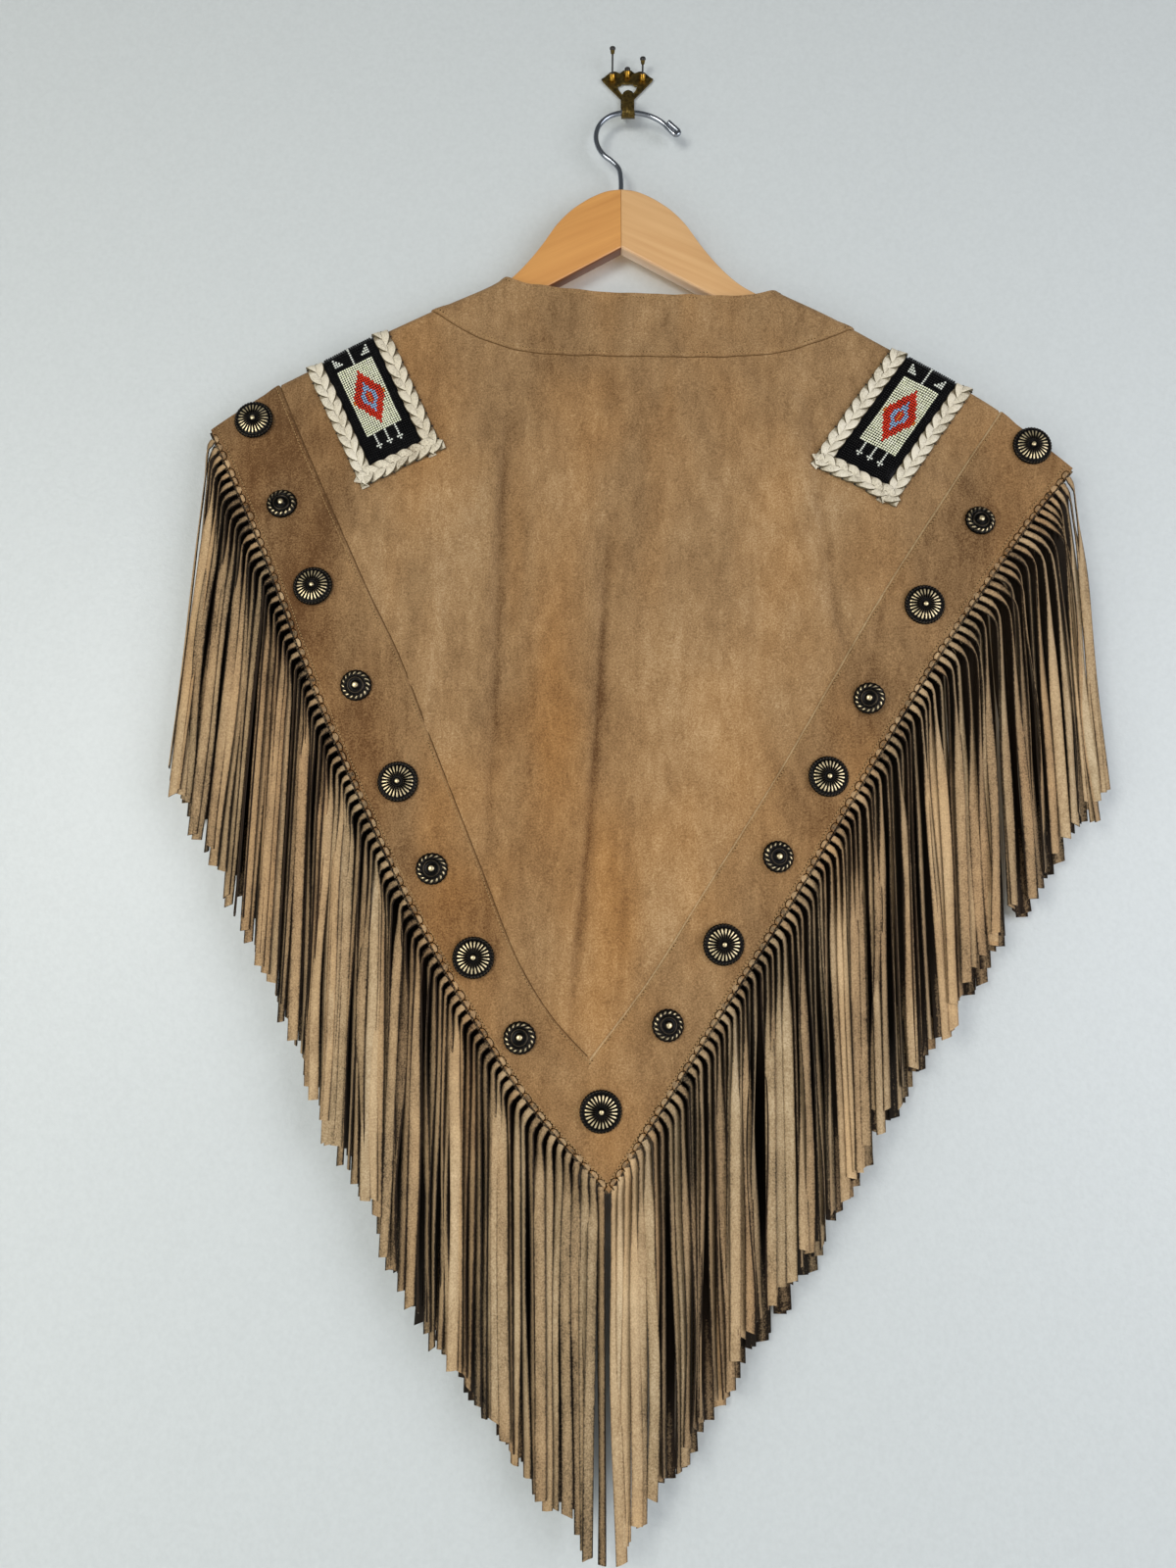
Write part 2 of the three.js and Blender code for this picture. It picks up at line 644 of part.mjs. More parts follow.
function beadStrip(patch) {
  const reach = [...NEAR_SHOULDER, 32, 55, 78, patch.end - BEAD_END_GAP];
  const rows = [...reach.slice(1).reverse().map((q) => -q), ...reach];
  const columns = [-BEAD_HALF_WIDTH, 0, BEAD_HALF_WIDTH];
  const corners = [];
  for (const lift of [PATCH_LIFT + BEAD_THICKNESS, PATCH_LIFT]) {
    for (const p of columns) for (const q of rows) corners.push(patchPoint(patch, p, q, lift));
  }
  const depth = rows.length;
  const at = (face, i, j) => face * columns.length * depth + i * depth + j;
  const triangles = [];
  const quad = (a, b, c, d) => triangles.push([a, b, c], [a, c, d]);
  for (let j = 0; j < depth - 1; j++) {
    for (let i = 0; i < columns.length - 1; i++) {
      quad(at(0, i, j), at(0, i + 1, j), at(0, i + 1, j + 1), at(0, i, j + 1));
      quad(at(1, i, j), at(1, i, j + 1), at(1, i + 1, j + 1), at(1, i + 1, j));
    }
    quad(at(0, 0, j), at(0, 0, j + 1), at(1, 0, j + 1), at(1, 0, j));
    quad(at(0, 2, j), at(1, 2, j), at(1, 2, j + 1), at(0, 2, j + 1));
  }
  for (let i = 0; i < columns.length - 1; i++) {
    quad(at(0, i, 0), at(1, i, 0), at(1, i + 1, 0), at(0, i + 1, 0));
    quad(at(0, i, depth - 1), at(0, i + 1, depth - 1), at(1, i + 1, depth - 1), at(1, i, depth - 1));
  }
  return closedMesh(corners, triangles);
}

// The plait is a ring round the beads with a lobe at every other station.
function braidFrame(patch) {
  const straight = [...NEAR_SHOULDER];
  for (let q = 17; q < patch.end - BRAID_CORNER; q += BRAID_PITCH) straight.push(q);
  const quarter = []; // stations from the shoulder line round one corner to the middle of the end
  for (const q of straight) quarter.push({ p: BRAID_CENTRE, q, np: 1, nq: 0 });
  for (const angle of [15, 45, 75]) {
    const a = (angle * Math.PI) / 180;
    quarter.push({
      p: BRAID_CENTRE - BRAID_CORNER + BRAID_CORNER * Math.cos(a),
      q: patch.end - BRAID_CORNER + BRAID_CORNER * Math.sin(a),
      np: Math.cos(a),
      nq: Math.sin(a),
    });
  }
  for (let p = BRAID_CENTRE - BRAID_CORNER - 3; p > 0.5; p -= BRAID_PITCH) {
    quarter.push({ p, q: patch.end, np: 0, nq: 1 });
  }
  const flipP = (s) => ({ p: -s.p, q: s.q, np: -s.np, nq: s.nq });
  const flipQ = (s) => ({ p: s.p, q: -s.q, np: s.np, nq: -s.nq });
  const backHalf = [...quarter, ...[...quarter].reverse().map(flipP)];
  const loop = [...backHalf, ...[...backHalf].reverse().map(flipQ).slice(1, -1)];
  const corners = [];
  const triangles = [];
  const quad = (a, b, c, d) => triangles.push([a, b, c], [a, c, d]);
  loop.forEach((s, i) => {
    const lobe = i % 2 === 0;
    const half = lobe ? BRAID_HALF_WIDTH : BRAID_HALF_WIDTH - 1.2;
    const top = PATCH_LIFT + (lobe ? BRAID_HIGH : BRAID_LOW);
    for (const [side, lift] of [
      [-half, PATCH_LIFT],
      [-half * 0.7, top],
      [half * 0.7, top],
      [half, PATCH_LIFT],
    ]) {
      corners.push(patchPoint(patch, s.p + side * s.np, s.q + side * s.nq, lift));
    }
    const next = ((i + 1) % loop.length) * 4;
    for (let k = 0; k < 4; k++) {
      const l = (k + 1) % 4;
      quad(i * 4 + k, i * 4 + l, next + l, next + k);
    }
  });
  return closedMesh(corners, triangles);
}

function concho(radius) {
  const profile = [
    [0, 0],
    [radius, 0],
    [radius * 0.97, 1.8],
    [radius * 0.42, 4.2],
    [radius * 0.24, 5.4],
    [0, 6],
  ].map(([r, h]) => new THREE.Vector2(r, h));
  const geometry = new THREE.LatheGeometry(profile, CONCHO_SIDES);
  geometry.rotateX(Math.PI / 2); // its axis along +Z
  return geometry;
}

function seatConcho(mesh, { x, z, radius }) {
  const drop = shoulderZ(x) - z;
  const seat = layerPoint("back", x, drop);
  const raised = lifted("back", x, drop, 1);
  const normal = raised.sub(seat).normalize();
  // The seat clears the cloth's highest point under the rim.
  let clear = 0;
  for (let i = 0; i < 12; i++) {
    const angle = (i / 12) * Math.PI * 2;
    const rim = onLayer("back", x + radius * Math.cos(angle), z + radius * Math.sin(angle), 0);
    clear = Math.max(clear, rim.sub(seat).dot(normal));
  }
  mesh.position.copy(seat).addScaledVector(normal, clear + CONCHO_STANDOFF);
  mesh.quaternion.setFromUnitVectors(new THREE.Vector3(0, 0, 1), normal);
}

// ---------------------------------------------------------------- hanger

// The top line of one arm by its distance from the middle; the underside runs parallel after the neck.
const ARM_TOP = [
  [0, -105],
  [12, -106.8],
  [24, -112],
  [33, -117.6],
  [42, -124.6],
  [53, -136.6],
  [65, -154.8],
  [75.5, -169],
  [86, -181],
  [97, -191],
  [112, -200.2],
  [156, -220],
  [190, -237.5],
  [212, -250],
];
const ARM_END = { reach: HANGER_REACH, top: -257, bottom: -267 };
const ARM_BOTTOM = [
  [205, -274],
  [156, -248.5],
  [112, -225],
  [88, -210],
  [0, -159],
];

function hangerHalves() {
  const outline = new THREE.Shape();
  const right = [...ARM_TOP, [ARM_END.reach, ARM_END.top], [ARM_END.reach, ARM_END.bottom], ...ARM_BOTTOM];
  const left = [...right].reverse().slice(1, -1).map(([d, z]) => [-d, z]);
  outline.setFromPoints([...right, ...left].map(([d, z]) => new THREE.Vector2(d, z)));
  const body = new THREE.ExtrudeGeometry(outline, {
    depth: HANGER_DEPTH - 2 * HANGER_CHAMFER,
    bevelEnabled: true,
    bevelThickness: HANGER_CHAMFER,
    bevelSize: HANGER_CHAMFER,
    bevelOffset: -HANGER_CHAMFER,
    bevelSegments: 1,
  });
  body.rotateX(Math.PI / 2);
  body.translate(HANGER_X, HANG_Y + HANGER_DEPTH / 2 - HANGER_CHAMFER, 0);
  const hole = new THREE.CylinderGeometry(WIRE_RADIUS + SEAM_GAP, WIRE_RADIUS + SEAM_GAP, 30, 16);
  hole.rotateX(Math.PI / 2);
  hole.translate(HANGER_X, HANG_Y, -120);
  const whole = toSolid(body).subtract(toSolid(hole));
  return [-1, 1].map((side) => {
    const keep = new THREE.BoxGeometry(300, 60, 300);
    keep.translate(HANGER_X + side * (150 + SEAM_GAP / 2), HANG_Y, -180);
    return fromSolid(whole.intersect(toSolid(keep)));
  });
}

// The wire comes out of the wood and turns round to the open side, where its end is folded back.
const WIRE_ROUTE = [
  [-6.5, -134],
  [-6.5, -112],
  [-6.5, -92],
  [-8.2, -83],
  [-14, -76],
  [-20.5, -70.5],
  [-25.5, -62.5],
  [-27.3, -53],
  [-25, -43.5],
  [-18.5, -35.8],
  [-9.5, -31.6],
  [0, -30.6],
  [10.5, -31.4],
  [20.5, -34.6],
  [29, -40],
  [35.5, -47.2],
  [38.4, -49.6],
  [41, -49],
  [42, -46.6],
  [40.6, -43.8],
  [36.5, -39],
];

function hangerHook() {
  const points = WIRE_ROUTE.map(([x, z]) => new THREE.Vector3(x, HANG_Y, z));
  const route = new THREE.CatmullRomCurve3(points, false, "centripetal");
  const round = new THREE.Shape();
  round.absarc(0, 0, WIRE_RADIUS, 0, Math.PI * 2);
  return new THREE.ExtrudeGeometry(round, { steps: 42, curveSegments: 4, extrudePath: route });
}

// ---------------------------------------------------------------- wall hook

const PLATE_THICKNESS = 1.4;
const STRAP_HALF_WIDTH = 6;
const STRAP_THICKNESS = 1.5;
const NAIL_SLANT = 0.78; // from upright, towards the room
const GUIDE_RADIUS = 2.4;
const NAILS = [
  { name: "left", x: -13, z: 13, shank: 17 },
  { name: "centre", x: 0, z: 16, shank: 1 },
  { name: "right", x: 13, z: 13, shank: 7 },
];

function wallHook() {
  const fan = new THREE.Shape();
  fan.moveTo(-STRAP_HALF_WIDTH, -6);
  fan.lineTo(-23, 13);
  fan.quadraticCurveTo(-19.5, 14.5, -17.5, 17);
  fan.quadraticCurveTo(-12, 23.5, -6.5, 18.5);
  fan.quadraticCurveTo(0, 26, 6.5, 18.5);
  fan.quadraticCurveTo(12, 23.5, 17.5, 17);
  fan.quadraticCurveTo(19.5, 14.5, 23, 13);
  fan.lineTo(STRAP_HALF_WIDTH, -6);
  fan.closePath();
  const window = new THREE.Path();
  window.moveTo(-4, 1);
  window.lineTo(4, 1);
  window.quadraticCurveTo(9, 4, 8.5, 6.5);
  window.quadraticCurveTo(5, 6, 4, 8);
  window.lineTo(-4, 8);
  window.quadraticCurveTo(-5, 6, -8.5, 6.5);
  window.quadraticCurveTo(-9, 4, -4, 1);
  fan.holes.push(window);
  const cutSettings = { bevelEnabled: false, curveSegments: 5 };
  const plate = new THREE.ExtrudeGeometry(fan, { ...cutSettings, depth: PLATE_THICKNESS });
  plate.rotateX(Math.PI / 2);

  // The strap leaves the plate, slants out to the seat under the wire and stands up in front of it.
  const seat = -33.6;
  const wire = HANG_Y;
  const strap = new THREE.Shape();
  strap.moveTo(0, -3);
  strap.lineTo(0, -18);
  strap.lineTo(wire + 3.4, seat - 0.6);
  strap.quadraticCurveTo(wire + 1.5, seat - STRAP_THICKNESS, wire, seat - STRAP_THICKNESS);
  strap.quadraticCurveTo(wire - 4.4, seat - STRAP_THICKNESS, wire - 4.4, seat + 3);
  strap.lineTo(wire - 4.4, -3);
  strap.lineTo(wire - 4.4 + STRAP_THICKNESS, -3);
  strap.lineTo(wire - 4.4 + STRAP_THICKNESS, seat + 3);
  strap.quadraticCurveTo(wire - 2.6, seat, wire, seat);
  strap.quadraticCurveTo(wire + 1.8, seat, wire + 3, seat + 1.6);
  strap.lineTo(-STRAP_THICKNESS, -16.6);
  strap.lineTo(-STRAP_THICKNESS, -3);
  strap.closePath();
  const tongue = new THREE.ExtrudeGeometry(strap, { ...cutSettings, depth: 2 * STRAP_HALF_WIDTH });
  // Turned so that the outline's first axis runs out of the wall and its depth runs along X.
  const axes = [new THREE.Vector3(0, 1, 0), new THREE.Vector3(0, 0, 1), new THREE.Vector3(1, 0, 0)];
  tongue.applyMatrix4(new THREE.Matrix4().makeBasis(...axes));
  tongue.translate(-STRAP_HALF_WIDTH, 0, 0);

  let solid = toSolid(plate).add(toSolid(tongue));
  for (const { x, z } of NAILS) {
    const guide = new THREE.CylinderGeometry(GUIDE_RADIUS, GUIDE_RADIUS + 0.4, 6, 10);
    guide.applyMatrix4(nailFrame(x, z, 0));
    const wall = new THREE.BoxGeometry(60, 40, 60);
    wall.translate(0, 20, 10);
    solid = solid.add(toSolid(guide).subtract(toSolid(wall)));
  }
  return fromSolid(solid);
}

// A nail's own +Y runs up out of the wall along its slant; shift moves it along that line.
function nailFrame(x, z, shift) {
  return new THREE.Matrix4()
    .makeTranslation(x, -PLATE_THICKNESS - 1, z)
    .multiply(new THREE.Matrix4().makeRotationX(Math.PI / 2 + NAIL_SLANT))
    .multiply(new THREE.Matrix4().makeTranslation(0, shift, 0));
}

function nail({ x, z, shank }) {
  const headLength = 5.5;
  const profile = [
    [0, 0],
    [0.8, 0],
    [0.8, shank],
    [1.7, shank + 0.4],
    [1.7, shank + headLength - 2.2],
    [2.1, shank + headLength - 2],
    [2.1, shank + headLength],
    [0, shank + headLength + 0.6],
  ].map(([r, h]) => new THREE.Vector2(r, h));
  const geometry = new THREE.LatheGeometry(profile, 8);
  geometry.applyMatrix4(nailFrame(x, z, 3 + SEAM_GAP));
  return geometry;
}

// ---------------------------------------------------------------- assembly

addPiece("wall_hook", wallHook(), brass);
for (const row of NAILS) addPiece(`wall_nail_${row.name}`, nail(row), brass);
addPiece("hanger_hook", hangerHook(), chrome);
const [armLeft, armRight] = hangerHalves();
addPiece("hanger_arm_left", armLeft, wood);
addPiece("hanger_arm_right", armRight, wood);

addPiece("back_panel", backPanel(), suede);
addPiece("back_band", backBand(), suede);
addPiece("neckband_back", backNeckband(), suede);
for (const side of frontSides) {
  addPiece(`front_panel_${side.name}`, frontPanel(side), suede);
  addPiece(`front_band_${side.name}`, frontBand(side), suede);
  addPiece(`neckband_front_${side.name}`, frontNeckband(side), suede);
}
for (const row of FRINGES) addPiece(`${row.layer}_fringe_${row.side}`, fringe(row), fringeSuede);
for (const patch of PATCHES) {
  addPiece(`bead_strip_${patch.name}`, beadStrip(patch), beads);
  addPiece(`braid_frame_${patch.name}`, braidFrame(patch), lace);
}
CONCHOS.forEach((row, i) => {
  const number = String(i + 1).padStart(2, "0");
  seatConcho(addPiece(`concho_${number}`, concho(row.radius), antiqueMetal), row);
});

export default object;
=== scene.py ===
"""Looks of a fringed suede shrug on a wooden hanger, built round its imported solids.

Sizes are in millimetres, in the part's own frame: +Z is up, the wall is the plane y = 0 and the room is on the -Y
side. The shrug's back faces the room. Points are turned into metres where a mesh is made.
"""

import logging
import math
from collections.abc import Sequence
from dataclasses import dataclass, field
from enum import Enum

import bpy
import numpy as np
from mathutils import Matrix, Vector

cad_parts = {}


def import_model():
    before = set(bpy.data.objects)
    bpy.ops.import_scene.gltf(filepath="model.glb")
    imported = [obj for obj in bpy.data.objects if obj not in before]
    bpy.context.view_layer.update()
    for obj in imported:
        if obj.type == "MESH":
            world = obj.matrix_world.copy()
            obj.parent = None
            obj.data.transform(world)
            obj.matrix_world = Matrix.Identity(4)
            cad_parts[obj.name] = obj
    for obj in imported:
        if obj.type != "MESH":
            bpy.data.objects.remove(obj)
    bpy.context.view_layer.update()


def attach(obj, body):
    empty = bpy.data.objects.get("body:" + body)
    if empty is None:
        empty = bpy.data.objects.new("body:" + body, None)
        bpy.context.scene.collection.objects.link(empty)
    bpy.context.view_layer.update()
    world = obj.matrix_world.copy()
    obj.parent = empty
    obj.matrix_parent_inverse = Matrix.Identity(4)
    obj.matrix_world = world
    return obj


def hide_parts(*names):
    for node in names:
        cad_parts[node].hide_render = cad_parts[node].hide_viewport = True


MM = 0.001
BODY = "root"
Array = np.ndarray
Points = np.ndarray
Values = np.ndarray | float
Piece = bpy.types.Object
Tree = bpy.types.NodeTree
Socket = bpy.types.NodeSocket
log = logging.getLogger("shrug")


# ---------------------------------------------------------------- colour and nodes


def linear(colour: int) -> tuple[float, float, float, float]:
    """Turn an sRGB hex colour into linear RGBA.

    Args:
        colour: The colour as 0xRRGGBB.

    Returns:
        Linear red, green, blue and an alpha of 1.
    """
    parts = [(colour >> shift & 255) / 255 for shift in (16, 8, 0)]
    return (*[p / 12.92 if p <= 0.04045 else ((p + 0.055) / 1.055) ** 2.4 for p in parts], 1.0)


def add_node(
    tree: Tree, kind: str, settings: dict | None = None, links: dict | None = None
) -> bpy.types.Node:
    """Add one node with its settings and links.

    Args:
        tree: The material's node tree.
        kind: Blender's name of the node type, after ShaderNode.
        settings: Values by property name, or by the name or number of an input socket; "stops" fills a colour ramp.
        links: Output sockets by the name or number of the input socket that they feed.

    Returns:
        The new node.
    """
    node = tree.nodes.new(f"ShaderNode{kind}")
    for key, value in (settings or {}).items():
        if key == "stops":
            elements = node.color_ramp.elements
            while len(elements) < len(value):
                elements.new(0.5)
            for element, (position, colour) in zip(elements, value):
                element.position = position
                element.color = colour
        elif isinstance(key, int) or key in node.inputs:
            node.inputs[key].default_value = value
        else:
            setattr(node, key, value)
    for key, source in (links or {}).items():
        tree.links.new(source, node.inputs[key])
    return node


def per_metre(size: float) -> float:
    """Give a texture's scale, in repeats a metre, from the real size of one feature in millimetres."""
    return 1000.0 / size


# ---------------------------------------------------------------- finishes


@dataclass(frozen=True)
class Finish:
    """One finish: a common material and how its surface was made."""

    name: str

    def material(self) -> bpy.types.Material:
        """Return the Blender material, made on first use."""
        found = bpy.data.materials.get(self.name)
        if found:
            return found
        material = bpy.data.materials.new(self.name)
        material.use_nodes = True
        tree = material.node_tree
        tree.nodes.clear()
        output = add_node(tree, "OutputMaterial")
        tree.links.new(self.shader(tree), output.inputs["Surface"])
        return material

    def shader(self, tree: Tree) -> Socket:
        """Build the shader's nodes and return its output."""
        raise NotImplementedError


@dataclass(frozen=True)
class BrushedSuede(Finish):
    """Split cowhide, brushed: a matt nap that lies both ways, so it shows as clouds and a fine mottle."""

    deep: int = 0x5A4026
    middle: int = 0x9C7D57
    light: int = 0xCDB38C
    warm_deep: int = 0x644020
    warm_middle: int = 0xA57A49
    warm_light: int = 0xD4AC76
    cloud: float = 46.0
    mottle: float = 8.0
    nap: float = 1.2  # as coarse as it needs to be to show
    stain: float = 85.0
    weights: tuple[float, float, float] = (0.42, 0.34, 0.68)  # of the cloud, the mottle and the nap
    relief: float = 0.5
    streak: float = 0.4  # the hide's stains run down the cloth, so they are stretched along it

    def shader(self, tree: Tree) -> Socket:
        """Build clouds, mottle and nap over the colour that each piece carries.

        Args:
            tree: The material's node tree.

        Returns:
            The shader's output socket.
        """
        place = add_node(tree, "TexCoord").outputs["Object"]
        long = add_node(tree, "Mapping", {"Scale": (1.0, 1.0, self.streak)}, {"Vector": place}).outputs[0]
        tone = add_node(tree, "Attribute", {"attribute_name": "tone"}).outputs["Fac"]
        warmth = add_node(tree, "Attribute", {"attribute_name": "warmth"}).outputs["Fac"]
        layers = []
        sizes = ((self.cloud, 3.0, long), (self.mottle, 3.0, long), (self.nap, 2.0, place), (self.stain, 2.0, long))
        for size, detail, at in sizes:
            settings = {"Scale": per_metre(size), "Detail": detail, "Roughness": 0.6, "Distortion": 0.25}
            layers.append(add_node(tree, "TexNoise", settings, {"Vector": at}).outputs["Fac"])
        total = tone
        for layer, weight in zip(layers, self.weights):
            node = {"operation": "MULTIPLY_ADD", 1: weight}
            total = add_node(tree, "Math", node, {0: layer, 2: total}).outputs[0]
        shade = add_node(tree, "MapRange", {"From Min": 0.38, "From Max": 1.1}, {"Value": total})
        stained = add_node(tree, "MapRange", {"From Min": 0.42, "From Max": 0.72}, {"Value": layers[3]})
        blend = {"operation": "MULTIPLY_ADD", 1: 0.6, "use_clamp": True}
        warmth = add_node(tree, "Math", blend, {0: stained.outputs[0], 2: warmth}).outputs[0]
        ramps = []
        for three in ((self.deep, self.middle, self.light), (self.warm_deep, self.warm_middle, self.warm_light)):
            stops = tuple(zip((0.0, 0.5, 1.0), map(linear, three)))
            ramps.append(add_node(tree, "ValToRGB", {"stops": stops}, {"Fac": shade.outputs[0]}))
        links = {0: warmth, 6: ramps[0].outputs["Color"], 7: ramps[1].outputs["Color"]}
        colour = add_node(tree, "Mix", {"data_type": "RGBA"}, links)
        height = add_node(tree, "Math", {"operation": "MULTIPLY_ADD", 1: 0.6}, {0: layers[1], 2: layers[2]})
        bump = add_node(
            tree, "Bump", {"Strength": 0.6, "Distance": self.relief * MM}, {"Height": height.outputs[0]}
        )
        skin = {
            "Roughness": 0.92,
            "Specular IOR Level": 0.18,
            "Sheen Weight": 0.16,
            "Sheen Roughness": 0.45,
            "Sheen Tint": linear(0xE2CDAE),
        }
        links = {"Base Color": colour.outputs[2], "Normal": bump.outputs["Normal"]}
        return add_node(tree, "BsdfPrincipled", skin, links).outputs["BSDF"]


@dataclass(frozen=True)
class PlainSurface(Finish):
    """A surface of one colour with a soft mottle, such as thread, lacquered steel or a painted wall."""

    colour: int = 0x808080
    second: int = 0x707070
    roughness: float = 0.6
    metallic: float = 0.0
    mottle: float = 3.0
    relief: float = 0.08
    coat: float = 0.0
    gloss: float = 0.5

    def shader(self, tree: Tree) -> Socket:
        """Build a two-colour mottle with a shallow relief.

        Args:
            tree: The material's node tree.

        Returns:
            The shader's output socket.
        """
        place = add_node(tree, "TexCoord").outputs["Object"]
        noise = {"Scale": per_metre(self.mottle), "Detail": 3.0, "Roughness": 0.55}
        mottle = add_node(tree, "TexNoise", noise, {"Vector": place}).outputs["Fac"]
        stops = ((0.3, linear(self.second)), (0.7, linear(self.colour)))
        ramp = add_node(tree, "ValToRGB", {"stops": stops}, {"Fac": mottle})
        bump = add_node(tree, "Bump", {"Strength": 0.4, "Distance": self.relief * MM}, {"Height": mottle})
        skin = {
            "Roughness": self.roughness,
            "Metallic": self.metallic,
            "Coat Weight": self.coat,
            "Specular IOR Level": self.gloss,
        }
        links = {"Base Color": ramp.outputs["Color"], "Normal": bump.outputs["Normal"]}
        return add_node(tree, "BsdfPrincipled", skin, links).outputs["BSDF"]


@dataclass(frozen=True)
class AntiquedMetal(Finish):
    """Cast or pressed brass, blackened and rubbed back: dark in the hollows and bright on the ridges."""

    hollow: int = 0x0C0B0A
    middle: int = 0x3C3428
    ridge: int = 0xDCCBA2
    roughness: float = 0.36

    def shader(self, tree: Tree) -> Socket:
        """Build the patina from the relief that the mesh carries.

        Args:
            tree: The material's node tree.

        Returns:
            The shader's output socket.
        """
        place = add_node(tree, "TexCoord").outputs["Object"]
        relief = add_node(tree, "Attribute", {"attribute_name": "relief"}).outputs["Fac"]
        noise = {"Scale": per_metre(2.5), "Detail": 3.0}
        wear = add_node(tree, "TexNoise", noise, {"Vector": place}).outputs["Fac"]
        worn = add_node(tree, "Math", {"operation": "MULTIPLY_ADD", 1: 0.45}, {0: wear, 2: relief})
        stops = ((0.35, linear(self.hollow)), (0.78, linear(self.middle)), (1.0, linear(self.ridge)))
        ramp = add_node(tree, "ValToRGB", {"stops": stops}, {"Fac": worn.outputs[0]})
        bump = add_node(tree, "Bump", {"Strength": 0.25, "Distance": 0.1 * MM}, {"Height": wear})
        skin = {"Metallic": 0.85, "Roughness": self.roughness}
        links = {"Base Color": ramp.outputs["Color"], "Normal": bump.outputs["Normal"]}
        return add_node(tree, "BsdfPrincipled", skin, links).outputs["BSDF"]


@dataclass(frozen=True)
class LacqueredMaple(Finish):
    """Maple, turned and lacquered: honey-coloured, with long fine grain and a soft gloss."""

    pale: int = 0xE0AF70
    deep: int = 0xBE8243
    line: float = 5.0
    length: float = 120.0

    def shader(self, tree: Tree) -> Socket:
        """Build grain that runs along each arm, which carries its own length and breadth.

        Args:
            tree: The material's node tree.

        Returns:
            The shader's output socket.
        """
        grain = add_node(tree, "Attribute", {"attribute_name": "grain"}).outputs["Vector"]
        stretch = {"Scale": (per_metre(self.length), per_metre(self.line), per_metre(self.line))}
        place = add_node(tree, "Mapping", stretch, {"Vector": grain}).outputs["Vector"]
        fine = add_node(tree, "TexNoise", {"Scale": 1.0, "Detail": 5.0}, {"Vector": place}).outputs["Fac"]
        broad = add_node(tree, "TexNoise", {"Scale": 0.22, "Detail": 2.0}, {"Vector": place}).outputs["Fac"]
        both = add_node(tree, "Math", {"operation": "MULTIPLY_ADD", 1: 0.8}, {0: broad, 2: fine}).outputs[0]
        shade = add_node(tree, "MapRange", {"From Min": 0.42, "From Max": 1.35}, {"Value": both}).outputs[0]
        stops = ((0.0, linear(self.deep)), (1.0, linear(self.pale)))
        ramp = add_node(tree, "ValToRGB", {"stops": stops}, {"Fac": shade})
        bump = add_node(tree, "Bump", {"Strength": 0.12, "Distance": 0.1 * MM}, {"Height": fine})
        skin = {"Roughness": 0.42, "Coat Weight": 0.35, "Coat Roughness": 0.22, "Specular IOR Level": 0.5}
        links = {"Base Color": ramp.outputs["Color"], "Normal": bump.outputs["Normal"]}
        return add_node(tree, "BsdfPrincipled", skin, links).outputs["BSDF"]


# Suede drinks the light: no gloss, and its colour shifts with the lie of the nap. A raw cut shows paler and fluffy.
BODY_SUEDE = BrushedSuede("split_suede_brushed")
# The fringe's deep colour is near black: the colour its painted shade reaches.
FRINGE_SUEDE = BrushedSuede(
    "split_suede_fringe", deep=0x1C1711, middle=0xA28B69, light=0xD4C09E, warm_middle=0xA88761, warm_deep=0x2A1D12
)
FRINGE_EDGE = BrushedSuede(
    "split_suede_fringe_edge", deep=0x1C1711, middle=0xAC9675, light=0xD4C09E, warm_middle=0xB0936D, warm_deep=0x2A1D12
)
# Besides the raw cuts, this paler finish paints a highlight along the bevel of the right band's seam.
CUT_EDGE = BrushedSuede("split_suede_cut_edge", deep=0x927A56, middle=0xC4AA82, light=0xDECAA6, warm_middle=0xC2A278)
# Deerskin lace is smoother and softer, nearly white on its face; its cut sides are painted dark grey, painted shade
# between the laces.
LACE = BrushedSuede(
    "deerskin_lace_cream", deep=0x8A8069, middle=0xDBD3BE, light=0xF2ECDC, warm_middle=0xDAD0B6, cloud=30, relief=0.2
)
LACE_SIDE_SHADE = PlainSurface("deerskin_lace_cut_edge", colour=0x70674F, second=0x504837, roughness=0.9, gloss=0.1)
# Thread is a fine dull line. A needle's hole in suede is drawn as a dark dot of painted shade, and the same dark finish
# paints the shadows in the creases and gaps of the fringe's ties.
STITCHING = PlainSurface("cotton_thread_waxed", colour=0xA98857, second=0x8A6D43, roughness=0.7, mottle=0.8)
BLACK_THREAD = PlainSurface("linen_thread_black", colour=0x1B1917, second=0x0E0D0C, roughness=0.6, mottle=0.8)
HOLE_AND_GAP_SHADE = PlainSurface("suede_needle_hole", colour=0x2B1D0E, second=0x1C1209, roughness=1.0, gloss=0.0)
# Chromed wire mirrors the room along its length. Roller-painted plaster is matt, with a fine orange-peel relief.
CHROME = PlainSurface("steel_wire_chromed", colour=0x9CA1A8, second=0x8E949C, roughness=0.13, metallic=1.0, relief=0.0)
WALL = PlainSurface("wall_painted", colour=0xCDD3D3, second=0xC8CECE, roughness=0.4, mottle=3.4, relief=0.55, gloss=0.4)
FLOOR = PlainSurface("floor_painted", colour=0xDFE1E1, second=0xDADCDC, roughness=0.8, mottle=30.0)
# Antiqued brass is nearly black with bright ridges, and aged pressed brass a dull gold with brown stains.
CONCHO_METAL = AntiquedMetal("brass_cast_antiqued")
HOOK_BRASS = PlainSurface(
    "brass_pressed_aged", colour=0x75612F, second=0x372C16, roughness=0.36, metallic=0.85, mottle=2.5, relief=0.12
)
GUIDE_BRASS = PlainSurface(
    "brass_turned_rubbed", colour=0xC99B3E, second=0x9A7229, roughness=0.24, metallic=1.0, relief=0.03
)
